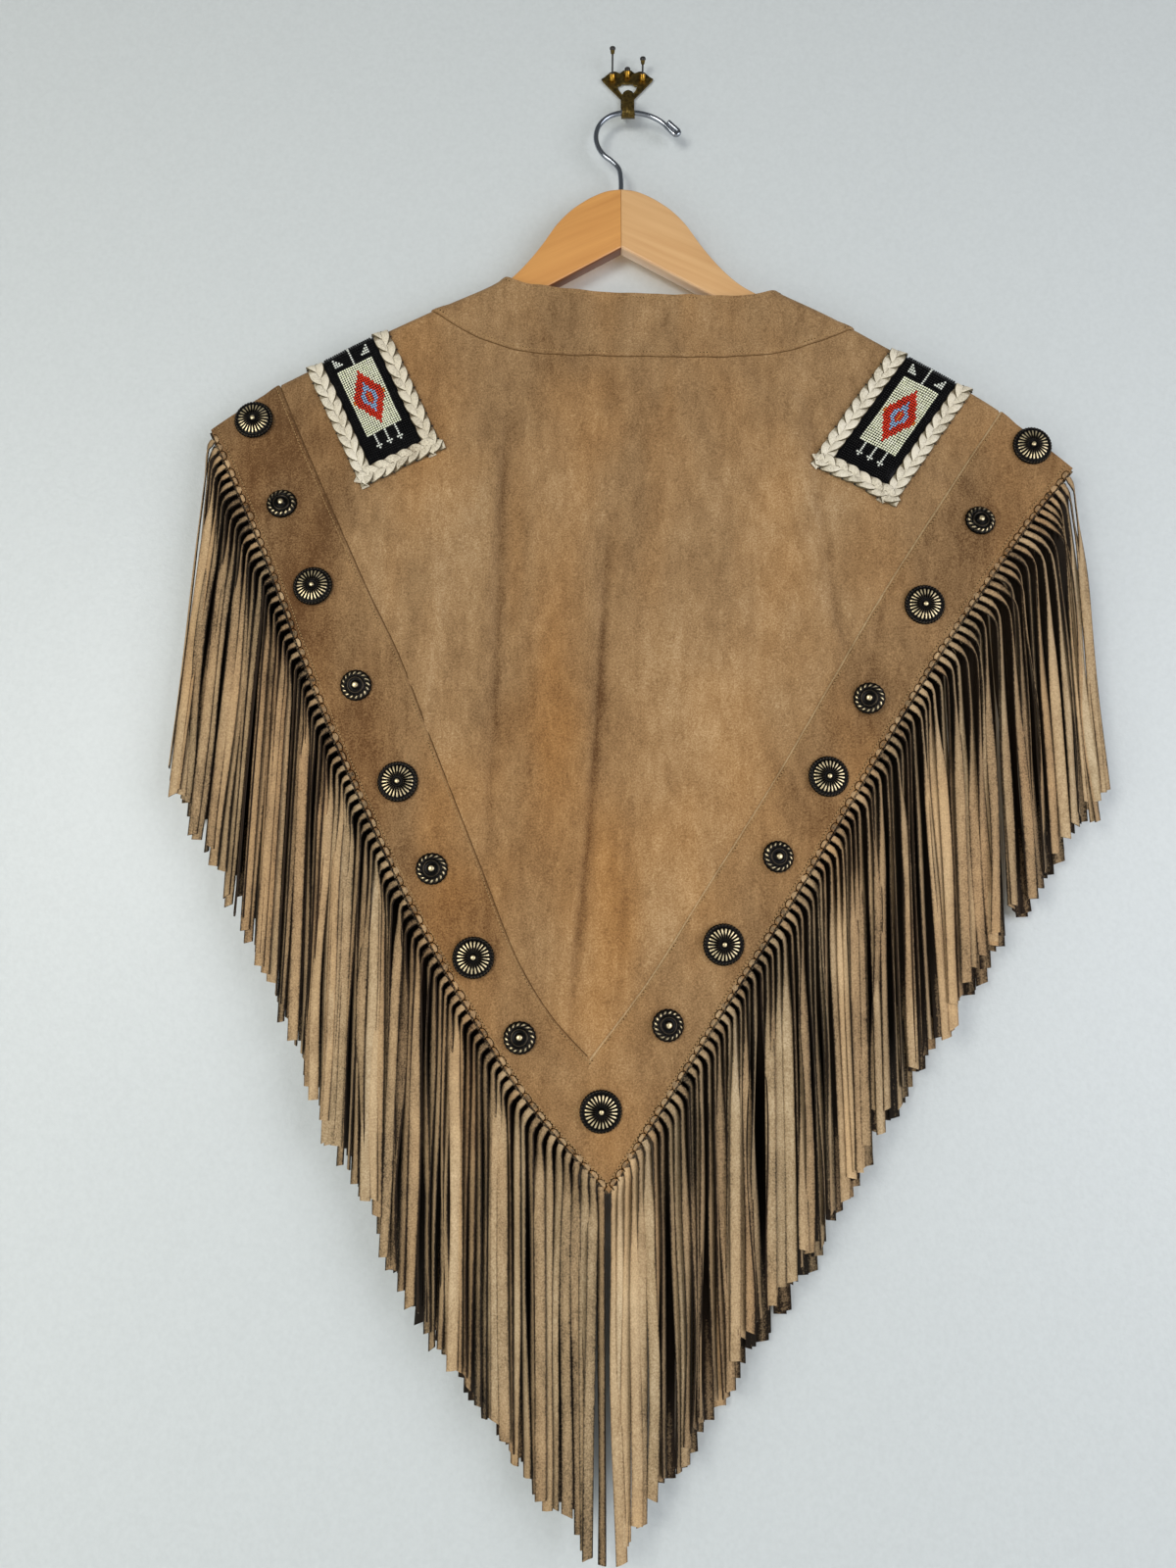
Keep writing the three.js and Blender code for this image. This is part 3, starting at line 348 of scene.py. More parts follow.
# A thin dark line of painted shadow beside a lapped seam.
SEAM_SHADE = PlainSurface("suede_painted_seam_shadow", colour=0x6A5032, second=0x513B24, roughness=1.0, gloss=0.0, mottle=2.0)
NAIL_CAP = PlainSurface("nail_cap_black", colour=0x1C1916, second=0x120F0D, roughness=0.4)
# Lacquered maple glows with a broad soft gloss over pale grain. The left arm is a deeper honey than the right; under
# the left arm the wood is painted dark, painted shade, and under the right one pale, painted light.
MAPLE = LacqueredMaple("maple_lacquered", pale=0xE0B782, deep=0xC4925C)
MAPLE_DARK = LacqueredMaple("maple_lacquered_deeper", pale=0xDDA35C, deep=0xBC7E3F)
MAPLE_LIT = LacqueredMaple("maple_lacquered_sawn", pale=0xF2D6B0, deep=0xD0A57A)
MAPLE_SHADED = LacqueredMaple("maple_lacquered_stained", pale=0x8A5632, deep=0x5E341C)


class Bead(Enum):
    """The colours of the small glass beads."""

    BLACK = 0
    CREAM = 1
    RED = 2
    BLUE = 3
    ORANGE = 4
    WHITE = 5


def bead_finish(name: str, colour: int, second: int) -> PlainSurface:
    """Give the finish of one bead colour: opaque drawn glass, fire-polished, so each bead has its own highlight."""
    gloss = 0.22 if name == "black" else 0.5
    return PlainSurface(f"glass_bead_{name}", colour=colour, second=second, roughness=0.22, mottle=1.6, gloss=gloss)


BEAD_FINISHES = [
    bead_finish("black", 0x060607, 0x020203),
    bead_finish("cream", 0xFFFFEC, 0xE6EBC0),
    bead_finish("red", 0xEA3A12, 0xCF2A0C),
    bead_finish("blue", 0xA8C6E8, 0x8FB0D6),
    bead_finish("orange", 0xF08A34, 0xE07222),
    bead_finish("white", 0xF1F3EA, 0xDADFD0),
]


# ---------------------------------------------------------------- meshes


@dataclass
class Skin:
    """Gathers the points and faces of one piece, in millimetres, and makes its object."""

    points: list[Points] = field(default_factory=list)
    faces: list[Array] = field(default_factory=list)
    slots: list[Array] = field(default_factory=list)
    marks: dict[str, list[Array]] = field(default_factory=dict)
    count: int = 0

    def add(self, points: Points, *faces: Array, slots: int | Array = 0, **marks: Values) -> None:
        """Add a closed form, with its faces turned outwards.

        Args:
            points: Its points, n by 3.
            faces: Its faces as numbers of those points: arrays of triangles or of quads.
            slots: The number of its finish, or one for each face.
            marks: Values that the finishes read, one for the form or one for each point.
        """
        volume = 0.0
        for group in faces:
            corner = points[group]
            for k in range(1, group.shape[1] - 1):
                volume += np.einsum("ij,ij->", corner[:, 0], np.cross(corner[:, k], corner[:, k + 1]))
        self.faces += [(group if volume > 0 else group[:, ::-1]) + self.count for group in faces]
        self.slots.append(np.broadcast_to(slots, sum(map(len, faces))))
        self.points.append(points)
        for name in {*self.marks, *marks}:
            values = self.marks.setdefault(name, [np.zeros(self.count)])
            values.append(np.broadcast_to(marks.get(name, 0.0), len(points)).astype(float))
        self.count += len(points)

    def build(self, name: str, finishes: Sequence[Finish], crease: float = 38.0) -> Piece:
        """Make the object.

        Args:
            name: The piece's name.
            finishes: Its finishes, in the order of their numbers.
            crease: Edges that turn by more than this many degrees stay sharp.

        Returns:
            The new object, at the origin.
        """
        mesh = bpy.data.meshes.new(name)
        points = np.concatenate(self.points) * MM
        sizes = np.concatenate([np.full(len(f), f.shape[1]) for f in self.faces])
        loops = np.concatenate([f.ravel() for f in self.faces])
        mesh.vertices.add(len(points))
        mesh.vertices.foreach_set("co", points.astype(np.float32).ravel())
        mesh.loops.add(len(loops))
        mesh.loops.foreach_set("vertex_index", loops.astype(np.int32))
        mesh.polygons.add(len(sizes))
        mesh.polygons.foreach_set("loop_start", np.concatenate([[0], np.cumsum(sizes)[:-1]]).astype(np.int32))
        mesh.polygons.foreach_set("material_index", np.concatenate(self.slots).astype(np.int32))
        for mark, values in self.marks.items():
            layer = mesh.attributes.new(mark, "FLOAT", "POINT")
            layer.data.foreach_set("value", np.concatenate(values).astype(np.float32))
        mesh.update(calc_edges=True)
        mesh.polygons.foreach_set("use_smooth", np.ones(len(sizes), bool))
        mesh.set_sharp_from_angle(angle=math.radians(crease))
        for finish in finishes:
            mesh.materials.append(finish.material())
        piece = bpy.data.objects.new(name, mesh)
        bpy.context.scene.collection.objects.link(piece)
        return piece


def seat(piece: Piece, slot: str, *nodes: str) -> Piece:
    """Let a piece ride on the part's body and stand for its solids, which are hidden.

    Args:
        piece: The piece.
        slot: A material slot's name; not used.
        nodes: The solids that it stands for.

    Returns:
        The piece.
    """
    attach(piece, BODY)
    if nodes:
        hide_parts(*nodes)
    log.info("%s: %d faces", piece.name, len(piece.data.polygons))
    return piece


def grid_faces(rows: int, columns: int, ring: bool = False) -> Array:
    """Give the faces of a grid of points.

    Args:
        rows: Its number of rows.
        columns: Its number of points in a row.
        ring: True if each row closes on itself.

    Returns:
        Quads as point numbers.
    """
    i, j = np.meshgrid(np.arange(rows - 1), np.arange(columns if ring else columns - 1), indexing="ij")
    k = (j + 1) % columns
    quads = [i * columns + j, i * columns + k, (i + 1) * columns + k, (i + 1) * columns + j]
    return np.stack(quads, -1).reshape(-1, 4)


def end_fans(rows: int, sides: int) -> Array:
    """Give the triangles that close both ends of a stack of rings, whose two middles are the last points.

    Args:
        rows: The number of rings.
        sides: The number of points in a ring.

    Returns:
        Triangles as point numbers.
    """
    k = np.arange(sides)
    after = (k + 1) % sides
    low = (rows - 1) * sides
    first = np.stack([after, k, np.full(sides, rows * sides)], -1)
    last = np.stack([k + low, after + low, np.full(sides, rows * sides + 1)], -1)
    return np.concatenate([first, last])


def add_shell(
    skin: Skin, outer: Points, inner: Points, rim_slot: int = 0, lip: Array | int = 0, **marks: Values
) -> None:
    """Add a sheet with two faces and a rim.

    Args:
        skin: The piece's skin.
        outer: The outer face's points, n by m by 3.
        inner: The inner face's points, laid out as the outer ones.
        rim_slot: The number of the finish of its cut edges.
        lip: The number of the outer face's finish, one for all or one for each of its m - 1 columns.
        marks: Values that the finishes read, one for the sheet or one for each place, n by m.
    """
    rows, columns = outer.shape[:2]
    face = grid_faces(rows, columns)
    size = rows * columns
    index = np.arange(size).reshape(rows, columns)
    border = np.concatenate([index[0, :-1], index[:-1, -1], index[-1, :0:-1], index[:0:-1, 0]])
    after = np.roll(border, -1)
    rim = np.stack([border, border + size, after + size, after], -1)
    faces = np.concatenate([face, face[:, ::-1] + size, rim])
    outer_slots = np.broadcast_to(lip, (rows - 1, columns - 1)).ravel()
    slots = np.concatenate([outer_slots, np.zeros(len(face), int), np.full(len(rim), rim_slot)])
    points = np.concatenate([outer.reshape(-1, 3), inner.reshape(-1, 3)])
    doubled = {name: np.tile(np.broadcast_to(value, (rows, columns)).ravel(), 2) for name, value in marks.items()}
    skin.add(points, faces, slots=slots, **doubled)


def add_tube(skin: Skin, rings: Points, slots: int | Array = 0, **marks: Values) -> None:
    """Add a closed tube with flat ends.

    Args:
        skin: The piece's skin.
        rings: Its rings of points, n by m by 3.
        slots: The number of its finish, or one for each side of the rings.
        marks: Values that the finishes read, one for the tube, one for each ring or one for each point of the rings.
    """
    count, sides = rings.shape[:2]
    points = np.concatenate([rings.reshape(-1, 3), rings[[0, -1]].mean(axis=1)])
    side_slots = np.broadcast_to(slots, sides)
    face_slots = np.concatenate([np.tile(side_slots, count - 1), np.full(2 * sides, side_slots[-1])])
    rings_of = {}
    for name, value in marks.items():
        value = np.asarray(value, float)
        each = np.broadcast_to(value if value.ndim == 2 else value[..., None], (count, sides)).ravel()
        rings_of[name] = np.concatenate([each, each[[0, -1]]])
    skin.add(points, grid_faces(count, sides, ring=True), end_fans(count, sides), slots=face_slots, **rings_of)


def barrel(stations: Sequence[tuple[float, float]], sides: int = 6) -> tuple[Points, Array, Array]:
    """Make a small round form about the first axis.

    Args:
        stations: Its outline: place along the axis and radius.
        sides: Its number of sides.

    Returns:
        Its points, its quads and its triangles.
    """
    angle = np.arange(sides) / sides * math.tau
    rings = [[(along, r * math.cos(a), r * math.sin(a)) for a in angle] for along, r in stations]
    middles = [(stations[0][0], 0.0, 0.0), (stations[-1][0], 0.0, 0.0)]
    points = np.array([p for ring in rings for p in ring] + middles, float)
    return points, grid_faces(len(stations), sides, ring=True), end_fans(len(stations), sides)


def scatter(
    skin: Skin,
    form: tuple[Points, Array, Array],
    centres: Points,
    axes: Sequence[Points],
    slots: int | Array = 0,
    **marks: Values,
) -> None:
    """Add many copies of a small form.

    Args:
        skin: The piece's skin.
        form: The form's points, quads and triangles.
        centres: The copies' middles, n by 3.
        axes: Three arrays, n by 3: where the form's own axes point, with their lengths.
        slots: The number of their finish, or one for each copy.
        marks: Values that the finishes read, one for all or one for each copy.
    """
    shape, quads, triangles = form
    placed = centres[:, None, :] + sum(shape[None, :, k, None] * axes[k][:, None, :] for k in range(3))
    count, size = placed.shape[:2]
    shift = (np.arange(count) * size)[:, None, None]
    own = np.broadcast_to(slots, count)
    face_slots = np.concatenate([np.repeat(own, len(quads)), np.repeat(own, len(triangles))])
    groups = [(group[None] + shift).reshape(-1, group.shape[1]) for group in (quads, triangles)]
    each = {name: np.repeat(np.broadcast_to(value, count), size) for name, value in marks.items()}
    skin.add(placed.reshape(-1, 3), *groups, slots=face_slots, **each)


# ---------------------------------------------------------------- lines and the hanging cloth


def smooth(value: Array, start: float, end: float) -> Array:
    """Rise smoothly from 0 at start to 1 at end."""
    t = np.clip((np.asarray(value, float) - start) / (end - start), 0.0, 1.0)
    return t * t * (3 - 2 * t)


def unit(vectors: Points) -> Points:
    """Give vectors a length of 1."""
    return vectors / np.maximum(np.linalg.norm(vectors, axis=-1, keepdims=True), 1e-12)


def drift(count: int, reach: float, seed: int) -> Array:
    """Give slowly changing random values, so that neighbours are alike.

    Args:
        count: How many.
        reach: Over how many neighbours a value carries.
        seed: The seed of the draw.

    Returns:
        Values of about -1 to 1.
    """
    raw = np.random.default_rng(seed).normal(size=count + int(8 * reach))
    kernel = np.exp(-((np.arange(-3 * reach, 3 * reach + 1) / reach) ** 2))
    kernel /= np.sqrt((kernel**2).sum())
    return np.clip(np.convolve(raw, kernel, "same")[int(4 * reach) : int(4 * reach) + count] * 0.6, -1.3, 1.3)


class Line:
    """A smooth line in the plane of x and z, through a short table of points."""

    def __init__(self, rows: Sequence[tuple[float, float]], detail: int = 30) -> None:
        """Draw the line.

        Args:
            rows: The table: x and z of each point.
            detail: Points for each stretch between two rows.
        """
        knots = np.array(rows, float)
        knots = np.vstack([2 * knots[0] - knots[1], knots, 2 * knots[-1] - knots[-2]])
        stretches = []
        for a, b, c, d in zip(knots, knots[1:], knots[2:], knots[3:]):
            before, own, after = (math.sqrt(np.linalg.norm(q - p)) for p, q in ((a, b), (b, c), (c, d)))
            leave = ((b - a) / before - (c - a) / (before + own) + (c - b) / own) * own
            arrive = ((c - b) / own - (d - b) / (own + after) + (d - c) / after) * own
            t = np.linspace(0, 1, detail, endpoint=False)[:, None]
            square = (3 * (c - b) - 2 * leave - arrive) * t**2
            stretches.append(b + leave * t + square + (2 * (b - c) + leave + arrive) * t**3)
        self.points = np.vstack([*stretches, knots[-2]])
        steps = np.linalg.norm(np.diff(self.points, axis=0), axis=1)
        self.run = np.concatenate([[0.0], np.cumsum(steps)])
        self.length = float(self.run[-1])

    def at(self, share: Array) -> Points:
        """Give x and z at shares of the line's length."""
        wanted = np.clip(share, 0.0, 1.0) * self.length
        return np.stack([np.interp(wanted, self.run, self.points[:, k]) for k in (0, 1)], -1)

    def tangent(self, share: Array) -> Points:
        """Give the direction of the line at shares of its length."""
        step = 2e-3
        return unit(self.at(np.clip(share, 0, 1) + step) - self.at(np.clip(share, 0, 1) - step))

    def z(self, x: Array) -> Array:
        """Give z at x, for a line that runs from side to side."""
        order = np.argsort(self.points[:, 0])
        return np.interp(x, self.points[order, 0], self.points[order, 1])


class Layer(Enum):
    """The two layers of cloth; the value is the side of the hanger on which each hangs, along Y."""

    BACK = -1
    FRONT = 1


@dataclass(frozen=True)
class Fold:
    """A trough, or a ridge where its depth is negative, from its top to its bottom, with a left and a right half."""

    x0: float
    z0: float
    x1: float
    z1: float
    depth: float
    half: float
    far: float | None = None
    # painted shade along the fold's bottom; a negative amount paints light along a ridge
    shade_paint: float = 0.0

    def share(self, x: Array, z: Array, half: float, far: float) -> Array:
        """Give how much of the fold there is at x and z, for a width on its left and one on its right."""
        t = (self.z0 - z) / (self.z0 - self.z1)
        off = x - self.x0 - (self.x1 - self.x0) * t - 2.4 * np.sin(4.2 * t + self.x0)
        fade = smooth(t, -0.12, 0.22) * (1 - smooth(t, 0.72, 1.12))
        return fade * np.exp(-((off / np.where(off < 0, half, far)) ** 2))

    def sink(self, x: Array, z: Array) -> Array:
        """Give how far it sinks at x and z."""
        return self.depth * self.share(x, z, self.half, self.far or self.half)

    def painted_crease_shade(self, x: Array, z: Array) -> Array:
        """Give the painted shade along the bottom of the fold: how much darker its tone is made there, or lighter where
        the amount is negative.
        """
        return self.shade_paint * self.share(x, z, 2.2, 4.5)


SHOULDER_LINE = Line(
    [
        (-372, -360), (-338, -317), (-312, -295), (-284, -279), (-250, -261), (-214, -241), (-163, -215),
        (-104, -186), (-84, -166), (-64, -140), (51, -140), (71, -166), (96, -184), (122, -198), (163, -219),
        (210, -247), (245, -267), (280, -288), (314, -313), (355, -350), (388, -392),
    ]
)  # fmt: skip
NECK_EDGE = Line([(-104, -186), (-86, -193), (-50, -198.5), (0, -203), (60, -204.5), (100, -203.5), (122, -198)])
NECK_SEAM = Line(
    [
        (-163, -215), (-137, -233), (-113, -245), (-85, -254), (-50, -257.5), (40, -259.5), (108, -256),
        (140, -249), (164, -240), (184, -231.5),
    ]
)  # fmt: skip
SEAM_LEFT = Line(
    [
        (-284, -279), (-265, -324), (-235, -391), (-205, -457), (-180, -508), (-152, -579), (-116, -668),
        (-84, -745), (-59, -784), (-33, -812),
    ]
)  # fmt: skip
SEAM_RIGHT = Line(
    [(299, -302), (257, -364), (199, -452), (168, -503), (108, -604), (53, -689), (10, -756), (-33, -812)]
)
EDGE_LEFT = Line(
    [
        (-338, -317), (-308, -381), (-282, -440), (-255, -508), (-225, -579), (-189, -655), (-158, -716),
        (-118, -783), (-73, -848), (-19, -906),
    ]
)  # fmt: skip
EDGE_RIGHT = Line(
    [
        (355, -350), (319, -393), (278, -449), (239, -505), (191, -580), (110, -710), (72, -767), (35, -824),
        (-19, -906),
    ]
)  # fmt: skip

# A fold's named last amount paints shade along its bottom, or light along a ridge where it is negative.
BACK_FOLDS = (
    Fold(-96, -300, -113, -670, 3.2, 4.0, 15, shade_paint=0.14),
    Fold(-104, -300, -122, -650, -1.9, 9, 5),
    Fold(-19, -420, -47, -810, 2.3, 2.6, 11, shade_paint=0.2),  # the sharp crease down the middle
    Fold(-26, -420, -54, -790, -1.9, 12, 4),
    Fold(-62, -360, -78, -720, -1.6, 16),
    Fold(-150, -420, -158, -560, -1.7, 7.0, 3.5, shade_paint=-0.1),
    Fold(-160, -430, -170, -560, -1.2, 8),
    Fold(140, -290, 168, -520, 2.8, 5.5, 16, shade_paint=0.08),
    Fold(128, -300, 156, -520, -1.6, 12),
    Fold(60, -420, 30, -740, -2.6, 32),
    Fold(196, -450, 172, -590, 1.8, 3.5, 9, shade_paint=0.12),
    Fold(4, -600, -18, -800, 0.9, 2.5, 8, shade_paint=0.08),
)
FRONT_FOLDS = (Fold(-150, -400, -120, -660, 2.4, 16), Fold(110, -380, 90, -620, 2.2, 18))
CREASED = ((-133, -84, 1.3), (-62, -6, 1.3), (126, 178, 1.9))  # where the back panel is creased: from x, to x, step


@dataclass(frozen=True)
class Drape:
    """The two layers of suede as they hang from the hanger, joined along the shoulders."""

    hang_y: float = -15.0
    hanger_x: float = -6.5
    hanger_reach: float = 222.0
    seam_gap: float = 0.3
    shoulder_half: float = 9.2
    shoulder_half_end: float = 7.4
    shoulder_drop: float = 9.0
    back_ease: float = 5.0
    front_ease: float = -1.2
    crumple: float = 0.28

    def surface(self, layer: Layer, x: Array, drop: Array) -> Points:
        """Give points on a layer's outer face.

        Args:
            layer: The layer.
            x: Places from side to side.
            drop: Heights below the shoulder line.

        Returns:
            Points, one for each place.
        """
        z = SHOULDER_LINE.z(x) - drop
        past = smooth(np.abs(x - self.hanger_x), self.hanger_reach + 2, self.hanger_reach + 60)
        half = self.shoulder_half + (self.shoulder_half_end - self.shoulder_half) * past
        over = 1 - np.clip(drop / self.shoulder_drop, 0, 1)
        ease = (self.back_ease if layer is Layer.BACK else self.front_ease) * smooth(drop, 25, 190)
        folds = BACK_FOLDS if layer is Layer.BACK else FRONT_FOLDS
        sunk = sum(fold.sink(x, z) for fold in folds) + self.unevenness(x, z) * smooth(drop, 4, 40)
        out = self.seam_gap / 2 + half * np.sqrt(np.maximum(1 - over * over, 0)) + ease - sunk
        return np.stack(np.broadcast_arrays(x, self.hang_y + layer.value * out, z), -1)

    def unevenness(self, x: Array, z: Array) -> Array:
        """Give the slight waves of suede that is not quite flat, in millimetres."""
        waves = ((97, 31, 0.4), (-58, 83, 1.9), (41, -66, 3.1), (29, 120, 5.0), (-150, 47, 2.2), (23, 37, 0.9))
        return self.crumple * sum(np.sin(x / a * math.tau + z / b * math.tau + c) for a, b, c in waves)

    def lifted(self, layer: Layer, x: Array, drop: Array, lift: Values) -> Points:
        """Give points moved straight out of the cloth.

        Args:
            layer: The layer of cloth.
            x: Places from side to side.
            drop: Heights below the shoulder line.
            lift: How far they move, or how far into the cloth where it is negative.

        Returns:
            The points.
        """
        x, drop, lift = np.broadcast_arrays(np.asarray(x, float), np.asarray(drop, float), lift)
        step = 0.05
        here = self.surface(layer, x, drop)
        across = self.surface(layer, x + step, drop) - self.surface(layer, x - step, drop)
        down = self.surface(layer, x, drop + step) - self.surface(layer, x, np.maximum(drop - step, 0))
        normal = unit(np.cross(across, down))
        outward = normal[..., 1] * layer.value
        wrong = (outward < 0) | ((np.abs(outward) < 1e-6) & (normal[..., 2] < 0))
        return here + np.where(wrong, -1.0, 1.0)[..., None] * normal * lift[..., None]

    def place(self, layer: Layer, x: Array, z: Array, lift: Values = 0.0) -> Points:
        """Give points of a layer at x and z, moved out of the cloth by a lift."""
        return self.lifted(layer, x, np.maximum(SHOULDER_LINE.z(x) - z, 0), lift)


DRAPE = Drape()


# ---------------------------------------------------------------- the suede pieces


@dataclass(frozen=True)
class Tint:
    """A soft patch where the suede is darker, lighter or warmer."""

    x: float
    z: float
    across: float
    down: float
    tone: float
    warmth: float = 0.0


TINTS = [
    Tint(*row)
    for row in (
        (-60, -560, 26, 120, -0.1, 0.75), (-12, -700, 24, 110, -0.05, 0.75), (10, -640, 120, 150, 0.04, 0.35),
        (70, -560, 60, 130, 0.07, 0.0), (-25, -780, 60, 60, 0.05, 0.5), (-190, -420, 46, 80, 0.04, 0.0),
        (-130, -560, 22, 110, 0.05, 0.1), (-150, -660, 26, 70, 0.03, 0.4), (-270, -340, 60, 70, -0.17, 0.1),
        (-255, -470, 34, 90, -0.13, 0.4), (-205, -600, 30, 90, -0.1, 0.5), (-150, -700, 30, 60, -0.06, 0.5),
        (-180, -290, 50, 50, -0.05, 0.1), (40, -300, 120, 50, -0.03, 0.1), (150, -430, 50, 90, 0.05, 0.0),
        (-25, -850, 90, 50, 0.03, 0.4), (262, -440, 60, 90, -0.05, 0.1), (180, -570, 40, 80, -0.03, 0.2),
        (-90, -430, 10, 90, -0.06, 0.4),
    )
]  # fmt: skip


def tinting(layer: Layer, x: Array, z: Array) -> dict[str, Array]:
    """Give the marks that shade the suede.

    Args:
        layer: The layer of cloth, of which the back one gets painted shade along its folds.
        x: Places from side to side.
        z: Their heights.

    Returns:
        The tone and the warmth at each place.
    """
    marks = {"tone": np.full(np.shape(x), -0.05), "warmth": np.zeros(np.shape(x))}
    for tint in TINTS:
        share = np.exp(-(((x - tint.x) / tint.across) ** 2) - ((z - tint.z) / tint.down) ** 2)
        marks["tone"] += tint.tone * share
        marks["warmth"] = np.maximum(marks["warmth"], tint.warmth * share)
    # Painted shade darkens the tone along the bottoms of the back's folds, and painted light lifts it along a ridge.
    for fold in BACK_FOLDS if layer is Layer.BACK else ():
        marks["tone"] -= fold.painted_crease_shade(x, z)
    return marks


@dataclass
class FrontHalf:
    """One half of the front: where its neckline starts, where it opens and where its band ends."""

    name: str
    corner: tuple[float, float]
    seam_start: tuple[float, float]
    opening: float
    until: float
    seam: Line
    edge: Line
    outer: float
    neck_drop: float = 96.0
    neck_width: float = 44.0

    def neckline(self, share: Array, band: Values) -> tuple[Array, Array]:
        """Give x and z of places on the neckband.

        Args:
            share: How far each is from the shoulder to the front opening.
            band: 0 on the free edge and 1 on the seam.

        Returns:
            Their x and their z.
        """

        def line(edge: float) -> tuple[Array, Array]:
            """Give x and z along the free edge (0) or the seam (1)."""
            start = self.corner if edge == 0 else self.seam_start
            bottom = self.corner[1] - self.neck_drop - edge * self.neck_width
            return start[0] + (self.opening - start[0]) * share, bottom + (start[1] - bottom) * (1 - share) ** 2

        (x0, z0), (x1, z1) = line(0), line(1)
        return x0 + (x1 - x0) * band, z0 + (z1 - z0) * band


FRONT_HALVES = (
    FrontHalf("left", (-104, -186), (-163, -215), -52.5, 0.955, SEAM_LEFT, EDGE_LEFT, -282.0),
    FrontHalf("right", (122, -198), (184, -231.5), 19.5, 0.91, SEAM_RIGHT, EDGE_RIGHT, 297.0),
)


@dataclass
class SuedePieces:
    """The cut pieces of the shrug: panels, border bands and neckbands, lapped over each other at the seams."""

    thickness: float = 1.3
    lap: float = 2.0
    raised: float = 1.25
    bevel: float = 0.9
    width: float = 50.0
    tip_x: float = -33.0
    pieces: dict[str, Piece] = field(default_factory=dict)

    def cloth(
        self,
        skin: Skin,
        layer: Layer,
        x: Array,
        z: Array,
        lift: Values,
        lip: Array | int = 0,
        shade: float = 0.0,
    ) -> None:
        """Add a piece of suede.

        Args:
            skin: The piece's skin.
            layer: The layer that it is part of.
            x: The places of its outer face from side to side.
            z: Their heights.
            lift: How far that face stands out of the layer.
            lip: 1 on the columns painted with the paler cut-edge finish, as a painted highlight.
            shade: What is added to its tone.
        """
        outer = DRAPE.place(layer, x, z, lift)
        inner = DRAPE.place(layer, x, z, lift - self.thickness)
        marks = tinting(layer, x, z)
        marks["tone"] += shade
        add_shell(skin, outer, inner, rim_slot=1, lip=lip, **marks)

    def finished(self, skin: Skin, name: str, node: str) -> Piece:
        """Make a suede piece that stands for one solid."""
        piece = seat(skin.build(name, (BODY_SUEDE, CUT_EDGE)), "suede", node)
        self.pieces[node] = piece
        return piece

    def panel(self, layer: Layer, x: Array, top: Array, name: str, node: str, rows: int) -> None:
        """Make a panel that hangs from its top line down under the border band.

        Args:
            layer: The layer that it is part of.
            x: Its columns.
            top: The z of its top line at each column.
            name: The piece's name.
            node: The solid that it stands for.
            rows: Its number of rows.
        """
        bottom = np.where(x < self.tip_x, SEAM_LEFT.z(x), SEAM_RIGHT.z(x)) - self.lap
        share = (np.arange(rows + 1) / rows) ** 1.55
        z = top[:, None] + (np.minimum(bottom, top - 0.4) - top)[:, None] * share
        skin = Skin()
        self.cloth(skin, layer, np.broadcast_to(x[:, None], z.shape), z, 0.0)
        self.finished(skin, name, node)

    def back_panel(self) -> None:
        """Make the back panel, from the shoulders and the neck seam to the V of the border band."""
        coarse = np.concatenate([np.linspace(-282, self.tip_x, 56), np.linspace(self.tip_x, 297, 72)[1:]])
        fine = [np.arange(start, stop, step) for start, stop, step in CREASED]
        plain = [x for x in coarse if not any(start < x < stop for start, stop, _ in CREASED)]
        x = np.unique(np.concatenate([plain, *fine, [self.tip_x]]).round(3))
        under_neck = (x > -163) & (x < 184)
        top = np.where(under_neck, np.minimum(NECK_SEAM.z(x) + self.lap, SHOULDER_LINE.z(x)), SHOULDER_LINE.z(x))
        self.panel(Layer.BACK, x, top, "suede_back_panel", "back_panel", 112)

    def front_panel(self, half: FrontHalf) -> None:
        """Make one front panel.

        Args:
            half: The half of the front that it hangs in.
        """
        x = np.linspace(half.outer, half.opening, 62)
        share = np.linspace(0, 1, 60)
        neck_x, neck_z = half.neckline(share, 1.0)
        order = np.argsort(neck_x)
        hung = np.interp(x, neck_x[order], neck_z[order]) + self.lap
        beside = (x - half.seam_start[0]) * (half.opening - half.seam_start[0]) < 0
        top = np.where(beside, SHOULDER_LINE.z(x), np.minimum(hung, SHOULDER_LINE.z(x)))
        self.panel(Layer.FRONT, x, top, f"suede_front_panel_{half.name}", f"front_panel_{half.name}", 80)

    def band_lift(self, across: Array) -> Array:
        """Give how far a band stands over the panel, by the distance from its seam."""
        return 0.1 + self.raised * np.sqrt(np.clip(across / self.bevel, 0, 1)) * (1 - 0.85 * smooth(across, 3.5, 12.0))

    def band(self, layer: Layer, sides: Sequence[tuple[Line, Line, Array]], name: str, node: str) -> None:
        """Make a border band.

        Args:
            layer: The layer that it is part of.
            sides: For each stretch its seam, its outer edge and its stations as shares of both lines.
            name: The piece's name.
            node: The solid that it stands for.
        """
        share = np.array([0, 0.008, 0.018, 0.05, 0.1, 0.15, 0.22, 0.32, 0.44, 0.56, 0.68, 0.8, 0.9, 0.96, 1.0])
        inner, outer = (np.concatenate([side[k].at(side[2]) for side in sides]) for k in (0, 1))
        x = inner[:, 0, None] + (outer - inner)[:, 0, None] * share
        z = inner[:, 1, None] + (outer - inner)[:, 1, None] * share
        skin = Skin()
        lift = np.broadcast_to(self.band_lift(share * self.width), x.shape)
